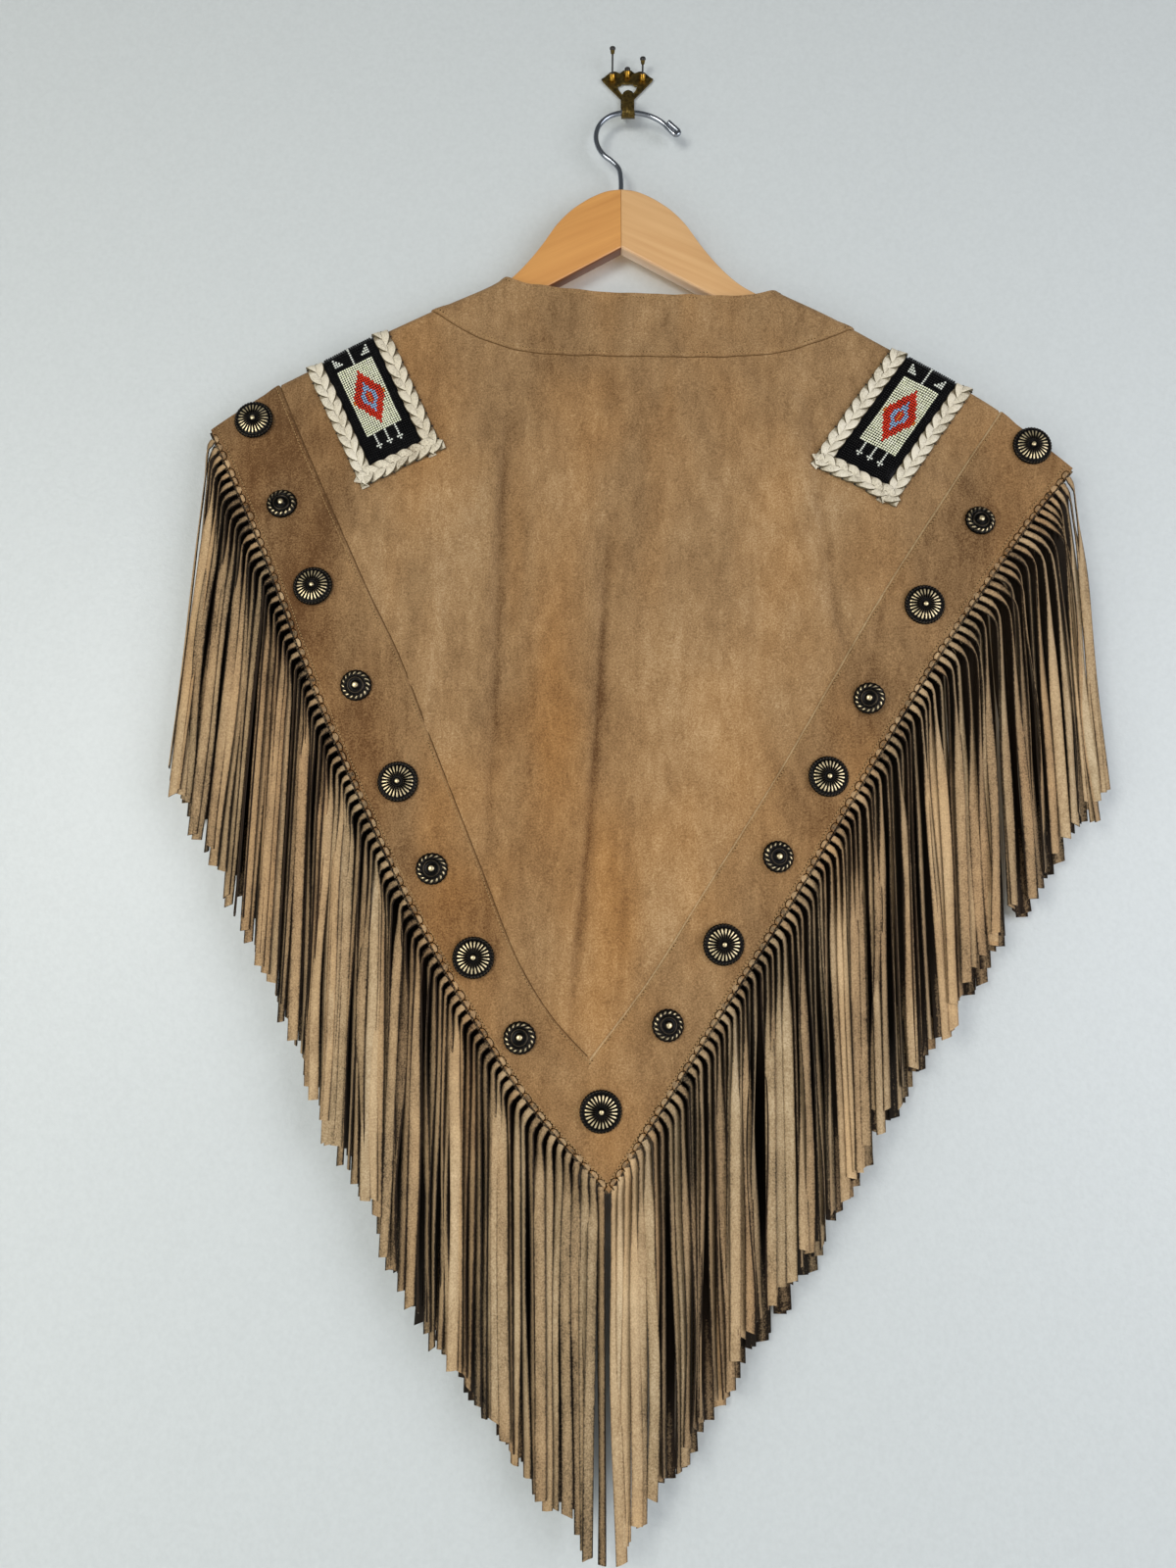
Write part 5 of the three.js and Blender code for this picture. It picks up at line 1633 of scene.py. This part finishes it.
@dataclass
class Concho:
    """A cast round button: petals round a ball, or a twisted rope round a ball, with a rolled rim."""

    number: int
    x: float
    z: float
    kind: ConchoKind
    circles: int = 28

    @property
    def turns(self) -> int:
        """How many points make a circle: at least three for each of the rim's 36 twists, or six for each lobe."""
        return 144 if self.kind is ConchoKind.SUNBURST else 96

    def relief(self, r: Array, angle: Array) -> tuple[Array, Array]:
        """Give the relief of the casting.

        Args:
            r: Radii, as shares of the whole.
            angle: Angles about the middle.

        Returns:
            The height at each place, and how much the metal is rubbed there.
        """
        dome = 1.3 + 2.5 * (1 - r**2)

        def hump(centre: float, half: float) -> Array:
            """Give a round ridge: its radius and half its width."""
            return np.sqrt(np.maximum(1 - ((r - centre) / half) ** 2, 0))

        if self.kind is ConchoKind.SUNBURST:
            window = smooth(r, 0.23, 0.3) * (1 - smooth(r, 0.76, 0.82))
            flute = np.abs(np.cos(angle * 12))
            rope = hump(0.94, 0.06) * (0.6 + 0.4 * np.cos(angle * 36 + r * 26))
            height = dome + 0.9 * np.sqrt(flute) * window + 1.7 * hump(0, 0.17) + 0.3 * hump(0.21, 0.03) + 0.9 * rope
            petal = smooth(flute, 0.86 - 0.44 * smooth(r, 0.3, 0.7), 0.99)
            rubbed = petal * window * (0.5 + 0.38 * smooth(r, 0.3, 0.6)) + 1.0 * hump(0, 0.17) ** 2 + 0.6 * rope**2
            return height, rubbed
        rope = hump(0.8, 0.17) * (0.35 + 0.65 * np.abs(np.cos(angle * 8 + r * 7)))
        height = dome + 1.3 * rope + 0.7 * hump(0.5, 0.06) + 1.8 * hump(0, 0.28) + 0.5 * hump(0.97, 0.03)
        rubbed = 0.8 * rope**2 + 0.5 * hump(0.5, 0.05) + 1.0 * hump(0, 0.27) ** 2
        return height, rubbed

    def build(self) -> Piece:
        """Make the concho on its seat."""
        radius = self.kind.value
        share = np.linspace(0.0, 1.0, self.circles + 1)[1:]
        angle = np.arange(self.turns) / self.turns * math.tau
        r, a = np.meshgrid(share, angle, indexing="ij")
        height, rubbed = self.relief(r, a)
        scallop = 1 + 0.018 * np.cos(a * (40 if self.kind is ConchoKind.SUNBURST else 20)) * smooth(r, 0.85, 1)
        top = np.stack([r * radius * np.cos(a) * scallop, r * radius * np.sin(a) * scallop, height], -1)
        side = top[-1:].copy()
        side[..., 2] = 0.35
        top_height, top_rubbed = self.relief(np.zeros(1), np.zeros(1))
        points = np.concatenate([top, side]).reshape(-1, 3)
        points = np.concatenate([points, [[0, 0, float(top_height[0])], [0, 0, 0.35]]])
        rows, sides = len(share) + 1, self.turns
        marks = np.concatenate([rubbed.ravel(), np.full(sides, 0.1), top_rubbed, [0.0]])
        skin = Skin()
        skin.add(points, grid_faces(rows, sides, ring=True), end_fans(rows, sides), relief=marks)
        name = "concho_sunburst" if self.kind is ConchoKind.SUNBURST else "concho_rope"
        piece = skin.build(f"{name}_{self.number:02d}", (CONCHO_METAL,), crease=60)
        drop = SHOULDER_LINE.z(self.x) - self.z
        under = DRAPE.lifted(Layer.BACK, self.x, drop, 0.0)
        out = unit(DRAPE.lifted(Layer.BACK, self.x, drop, 1.0) - under)
        rim = DRAPE.place(Layer.BACK, self.x + radius * np.cos(angle), self.z + radius * np.sin(angle))
        clear = float(np.max((rim - under) @ out))
        turn = Vector((0, 0, 1)).rotation_difference(Vector(out))
        place = Matrix.Translation(Vector((under + out * (clear + 0.1)) * MM)) @ turn.to_matrix().to_4x4()
        piece.data.transform(place)
        return seat(piece, "concho_metal", f"concho_{self.number:02d}")


CONCHOS = (
    (-302, -312), (-276, -384), (-248, -453), (-212, -532), (-178, -607), (-151, -673), (-119, -739), (-84, -797),
    (-25, -849), (24, -788), (66, -729), (108, -664), (148, -603), (182, -542), (227, -468), (275, -398), (321, -334),
)  # fmt: skip


# ---------------------------------------------------------------- hanger and wall hook


@dataclass
class Hanger:
    """Two turned maple arms that meet in the middle, and the chromed wire hook between them."""

    middle: float = -6.5
    y: float = -15.0
    depth: float = 12.0
    reach: float = 222.0
    gap: float = 0.15
    corner: float = 2.6  # radius of the arms' long edges
    round_end: float = 17.0  # length over which their ends round off
    wire: float = 2.1
    top: tuple = (
        (0, -105), (12, -106.8), (24, -112), (33, -117.6), (42, -124.6), (53, -136.6), (65, -154.8), (75.5, -169),
        (86, -181), (97, -191), (112, -200.2), (156, -220), (190, -237.5), (212, -250), (222, -257),
    )  # fmt: skip
    bottom: tuple = ((0, -159), (88, -210), (112, -225), (156, -248.5), (205, -274), (214, -273), (222, -267))
    route: tuple = (
        (-6.5, -134), (-6.5, -112), (-6.5, -92), (-8.2, -83), (-14, -76), (-20.5, -70.5), (-25.5, -62.5),
        (-27.3, -53), (-25, -43.5), (-18.5, -35.8), (-9.5, -31.6), (0, -30.6), (10.5, -31.4), (20.5, -34.6),
        (29, -40), (35.5, -47.2), (38.6, -50.4), (40.4, -51.2), (42.2, -50.3), (42.7, -48.5), (41.5, -47),
        (37.1, -42.6), (33.2, -38.6),
    )  # fmt: skip

    def arm(self, hand: int) -> Piece:
        """Make one arm as rounded sections from the middle to its end.

        Args:
            hand: Minus 1 for the left arm and 1 for the right one.

        Returns:
            The piece.
        """
        tip = self.reach - self.round_end
        rounded = tip + self.round_end * np.sin(np.linspace(0.08, 1, 14) * math.pi / 2)
        run = np.concatenate([np.linspace(self.gap, tip, 90), rounded])
        high, low = Line(self.top).z(run), Line(self.bottom).z(run)
        centre, half = (high + low) / 2, (high - low) / 2
        angle = np.arange(40) / 40 * math.tau
        circle = np.stack([np.cos(angle), np.sin(angle)], -1)
        rings = []
        for distance, middle, tall in zip(run, centre, half):
            deep = self.depth / 2
            round_ = min(self.corner, tall, deep)
            ring = np.clip(circle * 9, -1, 1) * [deep - round_, tall - round_] + circle * round_
            x = np.full(len(angle), self.middle + hand * distance)
            rings.append(np.stack([x, self.y + ring[:, 0], middle + ring[:, 1]], -1))
        skin = Skin()
        # The faces along each arm's underside take its second finish: painted shade on the left arm and painted light
        # on the right.
        add_tube(skin, np.stack(rings), slots=(np.sin(angle + math.pi / 40) < -0.72).astype(int))
        name = "left" if hand < 0 else "right"
        woods = (MAPLE_DARK, MAPLE_SHADED) if hand < 0 else (MAPLE, MAPLE_LIT)
        piece = skin.build(f"hanger_arm_maple_{name}", woods, crease=50)
        points = np.zeros(len(piece.data.vertices) * 3, np.float32)
        piece.data.vertices.foreach_get("co", points)
        points = points.reshape(-1, 3)
        slant = math.radians(-25 * hand)
        along = points[:, 0] * math.cos(slant) + points[:, 2] * math.sin(slant)
        breadth = -points[:, 0] * math.sin(slant) + points[:, 2] * math.cos(slant)
        layer = piece.data.attributes.new("grain", "FLOAT_VECTOR", "POINT")
        layer.data.foreach_set("vector", np.stack([along, breadth, points[:, 1]], -1).astype(np.float32).ravel())
        return seat(piece, "hanger_wood", f"hanger_arm_{name}")

    def hook(self) -> Piece:
        """Make the wire hook as a round tube along its route."""
        route = Line(self.route)
        share = np.linspace(0, 1, 220)
        track = route.at(share)
        way = route.tangent(share)
        angle = np.arange(16) / 16 * math.tau
        taper = np.sqrt(np.clip(1 - np.clip((share - 0.994) / 0.006, 0, 1) ** 2, 0.02, 1))
        rings = []
        for (x, z), (dx, dz), size in zip(track, way, taper):
            beside = np.stack([-dz * np.cos(angle), np.sin(angle), dx * np.cos(angle)], -1)
            rings.append(np.array([x, self.y, z]) + beside * self.wire * size)
        skin = Skin()
        add_tube(skin, np.stack(rings))
        return seat(skin.build("hanger_hook_wire", (CHROME,), crease=50), "hook_chrome", "hanger_hook")


@dataclass
class WallHook:
    """The pressed brass hook: a scalloped plate with a window, guides for three nails and a tongue under the wire."""

    thickness: float = 1.4
    slant: float = 0.78  # of the nails, from upright towards the room
    sides: int = 96  # points round the plate
    outline: tuple = (  # of one half, from the bottom to the top
        (0, -6), (-6, -6), (-14.5, 3.5), (-23, 13), (-20, 14.7), (-17.5, 17), (-15, 19.6), (-12, 20.8), (-9, 20.2),
        (-6.5, 18.5), (-3.6, 21.4), (0, 22.3),
    )  # fmt: skip
    window: tuple = ((0, -1.8), (-4.5, -1.5), (-7.5, 3), (-8.6, 6.2), (-5.6, 6.8), (-4, 8.6), (0, 8.1))
    strap: tuple = (
        (-0.75, -3), (-0.75, -10), (-0.75, -16.6), (-3.8, -21.6), (-8.4, -28.4), (-12, -33.2), (-15, -34.4),
        (-17.9, -33), (-18.65, -29.5), (-18.65, -24), (-18.65, -18), (-18.65, -12.5),
    )  # fmt: skip
    guide: tuple = ((-3.4, 0.3), (-3.2, 1.2), (-2.4, 2.2), (-1, 2.75), (1, 2.6), (3, 2.3), (3.1, 1.1))
    nails: tuple = (("left", -13, 13, 14), ("centre", 0, 16, -3.5), ("right", 13, 13, 6.5))  # x, z and bare length

    def polar(self, half: tuple) -> tuple[Array, Array]:
        """Give a closed outline's points at even angles about the middle of the window.

        Args:
            half: The corners of its left half, x and z.

        Returns:
            The points' x and their z.
        """
        knots = np.array([*half, *((-x, z) for x, z in half[-2::-1])], float) - [0, 4.0]
        dense = np.concatenate([a + (b - a) * np.linspace(0, 1, 40)[:, None] for a, b in zip(knots, knots[1:])])
        angle, radius = np.arctan2(dense[:, 1], dense[:, 0]), np.hypot(dense[:, 0], dense[:, 1])
        order = np.argsort(angle)
        wanted = -math.pi + np.arange(self.sides) / self.sides * math.tau
        r = np.interp(wanted, angle[order], radius[order], period=math.tau)
        return r * np.cos(wanted), r * np.sin(wanted) + 4.0

    def plate(self, skin: Skin) -> None:
        """Add the plate: a flat ring of metal round the window, with softened edges.

        Args:
            skin: The hook's skin.
        """
        (x1, z1), (x0, z0) = self.polar(self.outline), self.polar(self.window)
        rows = []
        for share, y in ((0, 0), (0, -0.9), (0.1, -1.4), (0.16, -1.15), (0.84, -1.15), (0.92, -1.4), (1, -0.9), (1, 0)):
            x, z = x0 + (x1 - x0) * share, z0 + (z1 - z0) * share
            rows.append(np.stack([x, np.full(self.sides, float(y)), z], -1))
        points = np.concatenate(rows)
        skin.add(points, grid_faces(len(rows) + 1, self.sides, ring=True) % len(points))

    def tongue(self, skin: Skin) -> None:
        """Add the strap that slants out under the wire and stands up in front of it, with a round end.

        Args:
            skin: The hook's skin.
        """
        path = Line(self.strap)
        share = np.concatenate([np.linspace(0, 0.9, 60), 0.9 + 0.1 * np.sin(np.linspace(0.05, 1, 14) * math.pi / 2)])
        track, way = path.at(share), path.tangent(share)
        normal = np.stack([way[:, 1], -way[:, 0]], -1)
        from_end = (1 - share) * path.length
        half = 5.8 - 0.9 * smooth(share, 0.55, 0.75)
        half = half * np.sqrt(np.clip(1 - (1 - np.clip(from_end / 4.9, 0, 1)) ** 2, 0.01, 1))
        across = np.linspace(-1, 1, 15)
        groove = 0.55 * smooth(share, 0.62, 0.7)[:, None] * (np.exp(-((across / 0.16) ** 2)) - 0.6 * across**4)
        faces = []
        for face in (-1, 1):
            off = normal[:, None, :] * (face * 0.75 - groove)[..., None]
            x = half[:, None] * across
            faces.append(np.stack([x, track[:, None, 0] + off[..., 0], track[:, None, 1] + off[..., 1]], -1))
        add_shell(skin, *faces)

    def turned(self, skin: Skin, x: float, z: float, profile: Sequence[tuple[float, float]], slot: int = 0) -> None:
        """Add a round form about a nail's line.

        Args:
            skin: The piece's skin.
            x: The line's place from side to side.
            z: Its height where it meets the plate.
            profile: Places along the line and radii.
            slot: The number of its finish.
        """
        axis = np.array([0.0, -math.sin(self.slant), math.cos(self.slant)])
        beside = np.array([0.0, axis[2], -axis[1]])
        angle = np.arange(20) / 20 * math.tau
        ring = np.array([1.0, 0, 0]) * np.cos(angle)[:, None] + beside * np.sin(angle)[:, None]
        start = np.array([x, -self.thickness - 1, z])
        add_tube(skin, np.stack([start + axis * along + ring * radius for along, radius in profile]), slots=slot)

    def build(self) -> None:
        """Make the hook and its three nails."""
        skin = Skin()
        self.plate(skin)
        self.tongue(skin)
        for _, x, z, _ in self.nails:
            self.turned(skin, x, z, self.guide, 1)
        seat(skin.build("wall_hook_brass", (HOOK_BRASS, GUIDE_BRASS), crease=50), "wall_hook_brass", "wall_hook")
        for name, x, z, shank in self.nails:
            skin, start = Skin(), 3.3
            end = start + shank
            self.turned(skin, x, z, ((min(start, end), 0.8), (end + 0.3, 0.8)), 1)
            self.turned(skin, x, z, ((end, 0.8), (end + 0.4, 1.5), (end + 3, 2.0), (end + 3.4, 1.9)), 0)
            cap = ((end + 3.3, 2.0), (end + 3.5, 2.5), (end + 5.0, 2.45), (end + 5.9, 1.6), (end + 6.2, 0.4))
            self.turned(skin, x, z, cap, 1)
            pin = skin.build(f"wall_nail_pin_{name}", (HOOK_BRASS, NAIL_CAP), crease=50)
            seat(pin, "wall_hook_brass", f"wall_nail_{name}")


# ---------------------------------------------------------------- studio


@dataclass
class Studio:
    """The camera, the lights, and the wall and floor that stand round the part."""

    camera_place: tuple[float, float, float] = (-0.034, -0.910, -0.748)
    camera_pitch: float = 99.0
    lens: float = 27.0
    sensor: float = 36.0
    wall_y: float = 0.0015
    floor_z: float = -1.6

    def camera(self) -> None:
        """Set up the camera in front of the shrug, tilted up a little."""
        data = bpy.data.cameras.new("camera")
        data.lens = self.lens
        data.sensor_width = self.sensor
        data.clip_start = 0.01
        camera = bpy.data.objects.new("camera", data)
        camera.location = self.camera_place
        camera.rotation_euler = (math.radians(self.camera_pitch), 0, 0)
        bpy.context.scene.collection.objects.link(camera)
        bpy.context.scene.camera = camera

    def light(
        self, name: str, place: Sequence[float], aim: Sequence[float], size: float, power: float, colour: int
    ) -> None:
        """Hang one soft square light.

        Args:
            name: Its name.
            place: Where it hangs, in metres.
            aim: What it points at, in metres.
            size: The length of its sides in metres.
            power: Its power in watts.
            colour: Its colour.
        """
        data = bpy.data.lights.new(name, "AREA")
        data.size = size
        data.energy = power
        data.color = linear(colour)[:3]
        lamp = bpy.data.objects.new(name, data)
        lamp.location = place
        lamp.rotation_mode = "QUATERNION"
        lamp.rotation_quaternion = (Vector(aim) - Vector(place)).to_track_quat("-Z", "Y")
        bpy.context.scene.collection.objects.link(lamp)

    def lights(self) -> None:
        """Hang a window-like light on the left, a weak fill and one light for the wall side."""
        chest = (0.0, 0.0, -0.6)
        self.light("window", (-1.05, -2.1, -0.25), chest, 0.85, 23.0, 0xFFFCF6)
        self.light("low_window", (-1.3, -1.1, -1.0), (-0.2, 0.0, -0.8), 1.1, 6.0, 0xFFFDF8)
        self.light("fill", (1.5, -1.5, -0.6), chest, 1.5, 25.0, 0xF8F8FF)
        self.light("behind", (-0.6, 2.0, 0.3), chest, 1.8, 26.0, 0xF6F8FF)
        world = bpy.data.worlds.new("room")
        world.use_nodes = True
        background = world.node_tree.nodes["Background"]
        background.inputs["Color"].default_value = linear(0xE4E8EA)
        background.inputs["Strength"].default_value = 0.22
        bpy.context.scene.world = world

    def board(self, name: str, corners: Sequence[Sequence[float]], finish: Finish) -> Piece:
        """Make one flat board of the room.

        Args:
            name: Its name.
            corners: Its four corners, in metres.
            finish: Its paint.

        Returns:
            The board.
        """
        mesh = bpy.data.meshes.new(name)
        mesh.from_pydata(corners, [], [(0, 1, 2, 3)])
        mesh.materials.append(finish.material())
        board = bpy.data.objects.new(name, mesh)
        bpy.context.scene.collection.objects.link(board)
        return board

    def room(self) -> None:
        """Make the wall, which is clear from behind, and the floor."""
        y, z, far = self.wall_y, self.floor_z, 4.0
        wall = self.board("room_wall", [(-far, y, z), (far, y, z), (far, y, 2.0), (-far, y, 2.0)], WALL)
        tree = wall.active_material.node_tree
        paint = next(n for n in tree.nodes if n.type == "BSDF_PRINCIPLED").outputs[0]
        output = next(n for n in tree.nodes if n.type == "OUTPUT_MATERIAL")
        clear = add_node(tree, "BsdfTransparent").outputs[0]
        behind = add_node(tree, "NewGeometry").outputs["Backfacing"]
        shadow = add_node(tree, "LightPath").outputs["Is Shadow Ray"]
        either = add_node(tree, "Math", {"operation": "MAXIMUM"}, {0: behind, 1: shadow}).outputs[0]
        mixed = add_node(tree, "MixShader", links={0: either, 1: paint, 2: clear}).outputs[0]
        tree.links.new(mixed, output.inputs["Surface"])
        self.board("room_floor", [(-far, -far, z), (far, -far, z), (far, far, z), (-far, far, z)], FLOOR)

    def build(self) -> None:
        """Set up the whole studio."""
        bpy.context.scene.view_settings.view_transform = "Standard"
        self.camera()
        self.lights()
        self.room()


# ---------------------------------------------------------------- assembly


def main() -> None:
    """Build the part's looks in order."""
    logging.basicConfig(level=logging.INFO, format="%(name)s %(message)s")
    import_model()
    Studio().build()

    suede = SuedePieces()
    suede.build()
    sewing = Sewing()
    sewn = {"back_band": sewing.border("sewing_back_band", Layer.BACK, FRINGES[:2])}
    sewn["neckband_back"] = sewing.neck("sewing_neckband_back", Layer.BACK, NECK_EDGE, NECK_SEAM)
    for half, fringe in zip(FRONT_HALVES, FRINGES[2:]):
        name = f"front_band_{half.name}"
        sewn[name] = sewing.border(f"sewing_{name}", Layer.FRONT, (fringe,))
        share = np.linspace(0, 1, 24)
        top, bottom = (Line(np.stack(half.neckline(share, edge), -1)) for edge in (0.0, 1.0))
        name = f"neckband_front_{half.name}"
        sewn[name] = sewing.neck(f"sewing_{name}", Layer.FRONT, top, bottom)

    for fringe in FRINGES:
        fringe.build()
    for patch in PATCHES:
        BeadStrip(patch).build()
        LacePlait(patch).build()
    for number, (x, z) in enumerate(CONCHOS, start=1):
        Concho(number, x, z, ConchoKind.SUNBURST if number % 2 else ConchoKind.ROPE).build()

    hanger = Hanger()
    for hand in (-1, 1):
        hanger.arm(hand)
    hanger.hook()
    WallHook().build()


if __name__ == "__main__":
    main()
